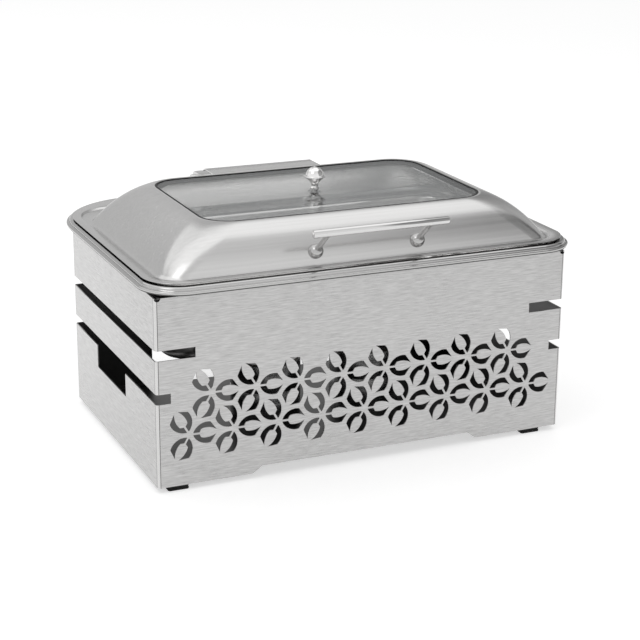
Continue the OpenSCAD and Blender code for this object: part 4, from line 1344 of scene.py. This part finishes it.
@dataclass
class Lid:
    """Domed lid with its recess, window, knob and bar handle."""

    finishes: Finishes
    steps: int = 16
    sheet: float = 1.2
    bulge: float = 6.0
    side_angle: float = 58.0
    front_angle: float = 78.0
    top_angle: float = 16.0
    recess_h: float = 2.4
    dome_h: float = 54.2
    flange_r: tuple[float, float] = (46.0, 98.0)
    window_r: float = 39.9
    window_frame: float = 4.5
    base_half: float = 263.0
    base_deep: float = 163.5
    base_r: float = 28.0
    recess_in: float = 13.0
    recess_back: float = 38.0
    recess_r: tuple[float, float] = (36.0, 48.0)
    notch_half: float = 88.0
    notch_deep: float = 28.0
    notch_r: float = 72.0
    lip_drop: float = 5.3
    lip_in: float = 9.0
    seal_width: float = 2.9
    seal_bead: float = 0.9
    ball_rise: float = 17.2

    FLANGE_SHADE = 2

    def __post_init__(self) -> None:
        """Read the lid's box and outlines from the frame."""
        self.box = Box.of("lid_shell")
        seal, food = Box.of("window_gasket"), Box.of("food_pan")
        self.flange = Outline(self.box.size.x / 2, self.box.low.y, self.box.high.y, *self.flange_r)
        self.window = Outline.round_box(seal, self.window_r).inset(-0.1)
        self.frame_edge = self.window.inset(-self.window_frame)
        self.base = Outline(self.base_half, food.middle.y - self.base_deep,
                            food.middle.y + self.base_deep, self.base_r, self.base_r)
        self.recess = Outline(self.flange.half - self.recess_in, self.flange.front + self.recess_in,
                              self.flange.rear - self.recess_back, *self.recess_r)
        self.top = self.box.high.z
        self.recess_z = self.top - self.dome_h
        self.flange_z = self.recess_z + self.recess_h
        self.seal = seal

    def _share(self, height: float, angle: float) -> float:
        """Share of a curved wall's run that lies below a share of its height.

        Args:
            height: Share of the wall's height.
            angle: The wall's slope at its foot, in degrees.

        Returns:
            The share of its run.
        """
        base, top = math.radians(angle), math.radians(self.top_angle)
        c = math.cos(base) + height * (math.cos(top) - math.cos(base))
        return (math.sin(base) - math.sqrt(1 - c * c)) / (math.sin(base) - math.sin(top))

    def dome_at(self, height: float) -> Outline:
        """The dome's outline at one level.

        Args:
            height: Share of the dome's height.

        Returns:
            The outline.
        """
        made = self.base.towards(self.frame_edge, self._share(height, self.side_angle),
                                 self._share(height, self.front_angle))
        r = self.base.r_front + (self.frame_edge.r_front - self.base.r_front) * height
        r += self.bulge * math.sin(math.pi * height)
        return replace(made, r_front=r, r_rear=r)

    def shell(self) -> None:
        """The pressed sheet from the flange up to the lip under the window."""
        z, fz, rz = self.top, self.flange_z, self.recess_z
        edge, lip = self.frame_edge, self.window
        notch = replace(self.flange.inset(6.0), rear=self.flange.rear - self.notch_deep,
                        r_rear=self.notch_r)
        rows = [(self.flange, fz - 0.5), (self.flange.inset(0.25), fz - 0.1),
                (self.flange.inset(0.7), fz), (notch, fz), (self.recess.inset(-0.5), fz),
                (self.recess.inset(0.1), fz - 0.4), (self.recess.inset(1.2), rz + 0.3),
                (self.recess.inset(1.8), rz)]
        rows += [(self.base.inset(-2.2), rz - 0.05), (self.base.inset(-0.9), rz + 0.25),
                 (self.base.inset(-0.2), rz + 0.9)]
        heights = (0.035, 0.07, 0.11, 0.16, 0.21, 0.27, 0.33, 0.39, 0.46, 0.53, 0.6, 0.67, 0.74, 0.8,
                   0.86, 0.91, 0.95, 0.98)
        rows += [(self.dome_at(h), rz + self.dome_h * h) for h in heights]
        rows += [(edge.inset(0.2), z - 0.15), (edge.inset(0.8), z), (lip.inset(-0.7), z),
                 (lip.inset(-0.15), z - 0.2), (lip, z - 0.8), (lip, z - self.lip_drop),
                 (lip.inset(self.lip_in), z - self.lip_drop)]
        shape = Shape("pressed_lid")
        stops = (self.notch_half, -self.notch_half)
        shape.loft([o.points(h, self.steps, stops) for o, h in rows])
        bmesh.ops.remove_doubles(shape.bm, verts=shape.bm.verts, dist=WELD)
        self._notch(shape)
        bmesh.ops.recalc_face_normals(shape.bm, faces=shape.bm.faces)
        shape.face_up()
        # The faces behind get the lid's inside finish, brightened as painted light.
        shape.thicken(self.sheet - 0.1, lined=True)
        self._shade_flange(shape)
        shape.finish(Body.LID, self.finishes.get("lid"), merge=False, sharp=40.0,
                     nodes=("lid_shell",),
                     others=[self.finishes.get(name) for name in ("inside", "flange_shade")])

    def _notch(self, shape: Shape) -> None:
        """Cut the notch in the rear flange where the hinge housing stands.

        Args:
            shape: The lid's skin.
        """
        cut = self.flange.rear - self.notch_deep - 0.01
        gone = []
        for face in shape.bm.faces:
            at = face.calc_center_median()
            behind = at.y > cut and all(vert.co.y > cut - 0.5 for vert in face.verts)
            if abs(at.x) < self.notch_half and behind:
                gone.append(face)
        bmesh.ops.delete(shape.bm, geom=gone, context="FACES")

    def _shade_flange(self, shape: Shape) -> None:
        """Mark the flange's underside with painted shade, for the dark gap between the lid's edge and
        the rim.

        Args:
            shape: The lid's mesh, with its thickness.
        """
        for face in shape.bm.faces:
            level = self.recess_z + 0.5 < face.calc_center_median().z < self.flange_z
            if face.material_index and face.normal.z < -0.5 and level:
                face.material_index = self.FLANGE_SHADE

    def seal_and_glass(self) -> None:
        """Black seal round the window and the tempered glass in it."""
        z0, z1 = self.seal.low.z, self.seal.high.z
        top, seat = z1 + self.seal_bead, z0 + 0.8
        outer, inner = self.window.inset(0.1), self.window.inset(self.seal_width)
        rows = [(outer, z0), (outer, z1 + 0.3), (outer.inset(0.3), z1 + 0.7), (outer.inset(0.9), top),
                (inner.inset(-0.9), top), (inner.inset(-0.2), z1 + 0.7), (inner, z1 + 0.2),
                (inner, seat), (inner.inset(5.0), seat), (inner.inset(5.0), z0)]
        shape = Shape("window_seal_ring")
        shape.loft([o.points(h, self.steps) for o, h in rows], closed=True)
        shape.finish(Body.LID, self.finishes.get("gasket"), nodes=("window_gasket",))
        box = Box.of("window_glass")
        bevel = 0.6
        rows = [(inner.inset(bevel), box.low.z), (inner, box.low.z + bevel),
                (inner, box.high.z - bevel), (inner.inset(bevel), box.high.z)]
        shape = Shape("window_pane")
        shape.loft([o.points(h, self.steps) for o, h in rows], cap_start=True, cap_end=True)
        shape.finish(Body.LID, self.finishes.get("glass"), nodes=("window_glass",))

    def knob(self) -> None:
        """Turned knob: foot, flared cup with a thin brim, round top and a small button."""
        box = Box.of("knob")
        h, brim_r, neck_r = box.size.z, box.size.x / 2, 4.4
        brim_z, top_r, curve = 15.3, 11.7, 1.8
        flare = [(neck_r + (brim_r - neck_r - 0.5) * (share ** curve), 4.0 + (brim_z - 4.4) * share)
                 for share in (0.0, 0.2, 0.4, 0.6, 0.8, 0.93)]
        profile = [(0.0, 0.0), (5.6, 0.0), (6.0, 0.4), (6.0, 1.0), (4.6, 2.6), *flare, (brim_r, brim_z),
                   (brim_r, brim_z + 0.8), (brim_r - 0.5, brim_z + 1.2), (top_r + 0.8, brim_z + 1.3),
                   *arc(0.0, brim_z + 1.4, top_r, 2, 80, 12), (1.4, h - 0.8), (1.1, h - 0.2), (0.0, h)]
        shape = Shape("turned_knob")
        shape.spin(profile, Matrix.Translation((box.middle.x, box.middle.y, box.low.z)), 64)
        shape.finish(Body.LID, self.finishes.get("knob"), nodes=("knob",))

    def handle(self) -> None:
        """Bar handle on two posts that end in balls on the front wall."""
        bar = Box.of("handle_bar")
        r, span = bar.size.z / 2, bar.size.x
        end = [(0.0, 0.0), (r - 1.4, 0.0), (r - 0.4, 0.4), (r, 1.4)]
        shape = Shape("turned_bar")
        shape.spin([*end, *((radius, span - x) for radius, x in reversed(end))],
                   lying(bar.low.x, bar.middle.y, bar.middle.z), 40)
        shape.finish(Body.LID, self.finishes.get("handle"), nodes=("handle_bar",))
        for side in ("left", "right"):
            self._post(side, bar)

    def _post(self, side: str, bar: Box) -> None:
        """One handle post: ball, neck and stem up to the bar.

        Args:
            side: Which post.
            bar: The bar's box.
        """
        box = Box.of(f"handle_post_{side}")
        ball_r, stem_r = box.size.x / 2, 3.2
        height = self.ball_rise / self.dome_h
        centre = Vector((box.middle.x, self.dome_at(height).front - 0.3,
                         self.recess_z + self.ball_rise))
        reach = Vector((centre.x, bar.middle.y, bar.middle.z)) - centre
        lean = reach.to_track_quat("Z", "Y").to_matrix().to_4x4()
        collar, end = reach.length - bar.size.z / 2, reach.length - 2.0
        ball = [(0.0, -ball_r), *arc(0.0, 0.0, ball_r, -80, -8, 8), *arc(0.0, 0.0, ball_r, 0, 66, 12)]
        stem = [(stem_r + 0.5, ball_r + 0.2), (stem_r, ball_r + 1.6), (stem_r, collar - 1.8),
                (stem_r + 0.9, collar - 0.4), (stem_r + 0.9, end), (0.0, end)]
        shape = Shape(f"ball_post_{side}")
        shape.spin([*ball, *stem], Matrix.Translation(centre) @ lean, 40)
        shape.merge()
        step = 1.0
        below, above = (self.dome_at(height + way * step / self.dome_h).front for way in (-1, 1))
        normal = Vector((0, -2 * step, above - below)).normalized()
        geometry = [*shape.bm.verts, *shape.bm.edges, *shape.bm.faces]
        cut = bmesh.ops.bisect_plane(shape.bm, geom=geometry, dist=CUT, plane_co=centre,
                                     plane_no=normal, clear_inner=True)
        rim = [item for item in cut["geom_cut"] if isinstance(item, bmesh.types.BMEdge)]
        bmesh.ops.contextual_create(shape.bm, geom=rim)
        shape.finish(Body.LID, self.finishes.get("chrome"), nodes=(f"handle_post_{side}",))

    def build(self) -> None:
        """Build and dress the lid."""
        self.shell()
        self.seal_and_glass()
        self.knob()
        self.handle()
        dress("lid_bumpers", self.finishes.get("rubber"))
        for node in ("knob_fixing", "handle_screws", "arm_screws", "cover_screws"):
            dress(node, self.finishes.get("fixing"))


@dataclass
class Hinge:
    """Fixed housing with its pin and springs, the lid's two arms and the folded cover."""

    finishes: Finishes
    fall_y: float = -36.0

    def __post_init__(self) -> None:
        """Find the hinge axis from the pin."""
        self.pin = Box.of("hinge_pin")
        self.axis = Vector((0.0, self.pin.middle.y, self.pin.middle.z))

    def _across(self, box: Box) -> tuple[float, float, float, float]:
        """A box's sides, measured from the axis.

        Args:
            box: The box.

        Returns:
            Its front, rear, bottom and top.
        """
        low, high = box.low - self.axis, box.high - self.axis
        return low.y, high.y, low.z, high.z

    def _piece(self, name: str, section: Sequence[tuple[float, float]], node: str, body: Body,
               bevel: float) -> None:
        """Push a section along the axis and finish it.

        Args:
            name: The piece's name.
            section: Its corners, as distances behind and above the axis.
            node: The CAD node that it stands for, which gives its place and length.
            body: The body that it rides on.
            bevel: Width of the bevel on its edges.
        """
        box = Box.of(node)
        points = [Vector((box.low.x, self.axis.y + y, self.axis.z + z)) for y, z in section]
        shape = Shape(name)
        shape.prism(points, Vector((box.size.x, 0, 0)))
        shape.finish(body, self.finishes.get("hinge"), bevel=bevel, nodes=(node,))

    def housing(self) -> None:
        """Housing over the pan's rear ledge, its lower part inside the rim, and its end blocks."""
        y0, y1, z0, z1 = self._across(Box.of("hinge_housing"))
        _, rim_rear, _, rim_top = self._across(Box.of("pan_rim"))
        step_y, step_z, r = rim_rear - 14.3, rim_top + 0.3, 10.0
        section = [(y0, z0), (step_y, z0), (step_y, step_z), (y1, step_z),
                   *arc(y1 - r, z1 - r, r, 0, 90, 8), (y0 + 3.0, z1), (y0 + 0.9, z1 - 0.9),
                   (y0, z1 - 3.0)]
        self._piece("housing_body", section, "hinge_housing", Body.PANS, 0.5)
        for side in ("left", "right"):
            self._piece(f"housing_end_{side}", section, f"hinge_block_{side}", Body.PANS, 0.6)

    def arms(self) -> None:
        """Two solid arms from the lid's recess to the pin, each with a round eye."""
        for side in ("left", "right"):
            front, eye, floor, top = self._across(Box.of(f"hinge_arm_{side}"))
            step, seat, fall = -41.0, -27.0, self.fall_y
            over = floor + 2.4
            tangent = math.degrees(math.atan2(top, fall) - math.acos(eye / math.hypot(fall, top)))
            section = [(front, floor), (step, floor), (step, over), (seat, over),
                       *arc(0.0, 0.0, eye, -90, tangent, 18), (fall, top), (front + 2.5, top),
                       (front + 0.7, top - 0.7), (front, top - 2.5)]
            self._piece(f"solid_arm_{side}", section, f"hinge_arm_{side}", Body.LID, 0.7)

    def cover(self) -> None:
        """Folded cover: foot, front wall, level top and a short fall over the housing."""
        y0, y2, z0, z1 = self._across(Box.of("hinge_cover"))
        t, r, y1, fall, foot_y = 1.5, 3.0, self.fall_y, 5.0, y0 + 21.0
        outer = [*arc(y0 + r, z1 - r, r, 180, 90, 6), (y1, z1), (y2, z1 - fall)]
        inner = [(y2, z1 - fall - t), (y1, z1 - t), *arc(y0 + r, z1 - r, r - t, 90, 180, 6)]
        foot = [(y0 + t, z0 + t), (foot_y, z0 + t), (foot_y, z0), (y0, z0)]
        self._piece("folded_cover", [*outer, *inner, *foot], "hinge_cover", Body.LID, 0.3)

    def pivot(self) -> None:
        """Hinge pin with its domed heads."""
        r, head, span = 4.0, self.pin.size.z / 2, self.pin.size.x
        end = [(0.0, 0.0), (head - 2.2, 0.15), (head - 0.6, 0.6), (head, 1.3), (head, 1.5), (r, 1.5)]
        shape = Shape("turned_pin")
        shape.spin([*end, *((radius, span - x) for radius, x in reversed(end))],
                   lying(self.pin.low.x, self.axis.y, self.axis.z), 32)
        shape.finish(Body.PANS, self.finishes.get("polished"), nodes=("hinge_pin",))

    def build(self) -> None:
        """Build and dress the hinge."""
        self.housing()
        self.arms()
        self.cover()
        self.pivot()
        dress("housing_screws", self.finishes.get("fixing"))
        for side in ("left", "right"):
            dress(f"torsion_spring_{side}", self.finishes.get("spring"))


@dataclass(frozen=True)
class Wall:
    """A greyer part of the surround, round one direction, which only reflections show."""

    aim: tuple[float, float, float]
    dim: float
    start: float
    full: float


@dataclass(frozen=True)
class SoftBox:
    """An area light, with its lengths in metres and its power in watts."""

    name: str
    place: tuple[float, float, float]
    aim: tuple[float, float, float]
    size: tuple[float, float]
    power: float


@dataclass
class Studio:
    """Camera at the photograph's angle, pale floor, soft lights and a white surround."""

    place: tuple[float, float, float] = (-872.0, -2031.2, 845.4)
    azimuth: float = 23.73
    drop: float = 17.97
    roll: float = 0.41
    lens: float = 96.34
    sensor: float = 36.0
    clip: tuple[float, float] = (0.05, 50.0)
    floor_half: float = 6.0
    floor_level: float = 0.80
    floor_lift: float = 0.55
    surround: float = 0.5
    walls: tuple[Wall, ...] = (Wall((0.0, 0.0, 1.0), 0.16, 0.3, 0.8),
                               Wall((-0.05, 0.95, 0.25), 0.34, 0.5, 0.85),
                               Wall((0.85, -0.35, 0.30), 0.6, 0.76, 0.86),
                               Wall((0.80, 0.50, 0.30), 0.42, 0.84, 0.95))
    lamps: tuple[SoftBox, ...] = (
        SoftBox("overhead", (-0.15, 0.33, 2.3), (-0.15, 0.33, 0.0), (3.5, 2.35), 12.5),
        SoftBox("back_left", (-1.3, 2.35, 2.3), (-1.3, 2.35, 0.0), (2.3, 1.7), 7.4),
        SoftBox("front_left", (-1.35, -0.75, 1.85), (-0.2, -0.1, 0.3), (1.0, 0.9), 3.2))

    def camera(self) -> None:
        """Place the camera."""
        data = bpy.data.cameras.new("camera")
        data.sensor_width, data.lens = self.sensor, self.lens
        data.clip_start, data.clip_end = self.clip
        made = link("camera", data)
        turn = (Matrix.Rotation(math.radians(-self.azimuth), 4, "Z")
                @ Matrix.Rotation(math.radians(90 - self.drop), 4, "X")
                @ Matrix.Rotation(math.radians(self.roll), 4, "Z"))
        made.matrix_world = Matrix.Translation(Vector(self.place) * MM) @ turn
        bpy.context.scene.camera = made

    @staticmethod
    def _seen(graph: Graph, *kinds: str) -> Signal:
        """Tell some kinds of ray from the others, such as the light that falls on the object.

        Args:
            graph: The nodes to add to.
            *kinds: Names of the kinds, as the light path's sockets spell them.

        Returns:
            One for a ray of these kinds, and zero for any other.
        """
        path = graph.node("ShaderNodeLightPath")
        found = sum(Signal(graph, path.outputs[f"Is {kind} Ray"]) for kind in kinds)
        return graph.signal("ShaderNodeMath", {"operation": "MINIMUM"}, {0: found, 1: 1.0})

    def floor(self) -> None:
        """Pale floor that keeps the object's shadow."""
        shape = bmesh.new()
        bmesh.ops.create_grid(shape, x_segments=2, y_segments=2, size=self.floor_half)
        mesh = bpy.data.meshes.new("floor")
        shape.to_mesh(mesh)
        shape.free()
        made = link("floor", mesh)
        graph = Graph.of("pale_floor")
        shade = graph.noise((3.0, 3.0, 3.0), 2.0, 0.6)
        colour = graph.blend(shade, grey(self.floor_level), grey(self.floor_level * 1.02))
        base = graph.node("ShaderNodeBsdfDiffuse", None, {"Color": colour})
        lift = self._seen(graph, "Camera", "Glossy", "Transmission") * self.floor_lift
        glow = graph.node("ShaderNodeEmission", None, {"Color": (1, 1, 1, 1), "Strength": lift})
        both = graph.node("ShaderNodeAddShader", None, {0: base.outputs[0], 1: glow.outputs[0]})
        graph.node("ShaderNodeOutputMaterial", None, {"Surface": both.outputs[0]})
        mesh.materials.append(graph.owner)

    @staticmethod
    def _towards(graph: Graph, way: bpy.types.NodeSocket, wall: Wall) -> Signal:
        """How far a direction turns towards a wall, from zero to one.

        Args:
            graph: The world's nodes.
            way: The direction that is looked in.
            wall: The wall, whose start and full are cosines of the angle to its middle.

        Returns:
            The smoothed share.
        """
        aim = tuple(Vector(wall.aim).normalized())
        near = graph.signal("ShaderNodeVectorMath", {"operation": "DOT_PRODUCT"}, {0: way, 1: aim},
                            "Value")
        return graph.signal("ShaderNodeMapRange", {"interpolation_type": "SMOOTHSTEP"},
                            {"Value": near, "From Min": wall.start, "From Max": wall.full})

    def world(self) -> None:
        """White surround for the camera, with greyer walls in reflections and less light elsewhere."""
        graph = Graph(bpy.data.worlds.new("surround"))
        bpy.context.scene.world = graph.owner
        way = graph.node("ShaderNodeTexCoord").outputs["Generated"]
        shown = 1.0
        for wall in self.walls:
            shown = shown - self._towards(graph, way, wall) * wall.dim
        mirrored = self._seen(graph, "Glossy", "Transmission")
        level = graph.signal("ShaderNodeMix", None, {0: mirrored, 2: self.surround, 3: shown})
        level = graph.signal("ShaderNodeMix", None, {0: self._seen(graph, "Camera"), 2: level, 3: 1.0})
        sky = graph.node("ShaderNodeBackground", None, {"Color": (1, 1, 1, 1), "Strength": level})
        graph.node("ShaderNodeOutputWorld", None, {"Surface": sky.outputs[0]})

    @staticmethod
    def lamp(box: SoftBox) -> None:
        """Add one light.

        Args:
            box: The light's settings.
        """
        data = bpy.data.lights.new(box.name, "AREA")
        data.shape, data.energy = "RECTANGLE", box.power
        data.size, data.size_y = box.size
        made = link(box.name, data)
        turn = (Vector(box.aim) - Vector(box.place)).to_track_quat("-Z", "Y").to_matrix().to_4x4()
        made.matrix_world = Matrix.Translation(box.place) @ turn

    def build(self) -> None:
        """Build the studio."""
        self.camera()
        self.floor()
        self.world()
        for box in self.lamps:
            self.lamp(box)
        bpy.context.scene.view_settings.view_transform = "Standard"
        LOG.info("studio: camera, floor, surround and soft lights")


def main() -> None:
    """Build every assembly in order, then the studio."""
    logging.basicConfig(level=logging.INFO, format="%(message)s")
    finishes = Finishes()
    for part in (Stand(finishes), Burner(finishes, "left"), Burner(finishes, "right"), Pans(finishes),
                 Lid(finishes), Hinge(finishes), Studio()):
        part.build()


if __name__ == "__main__":
    main()
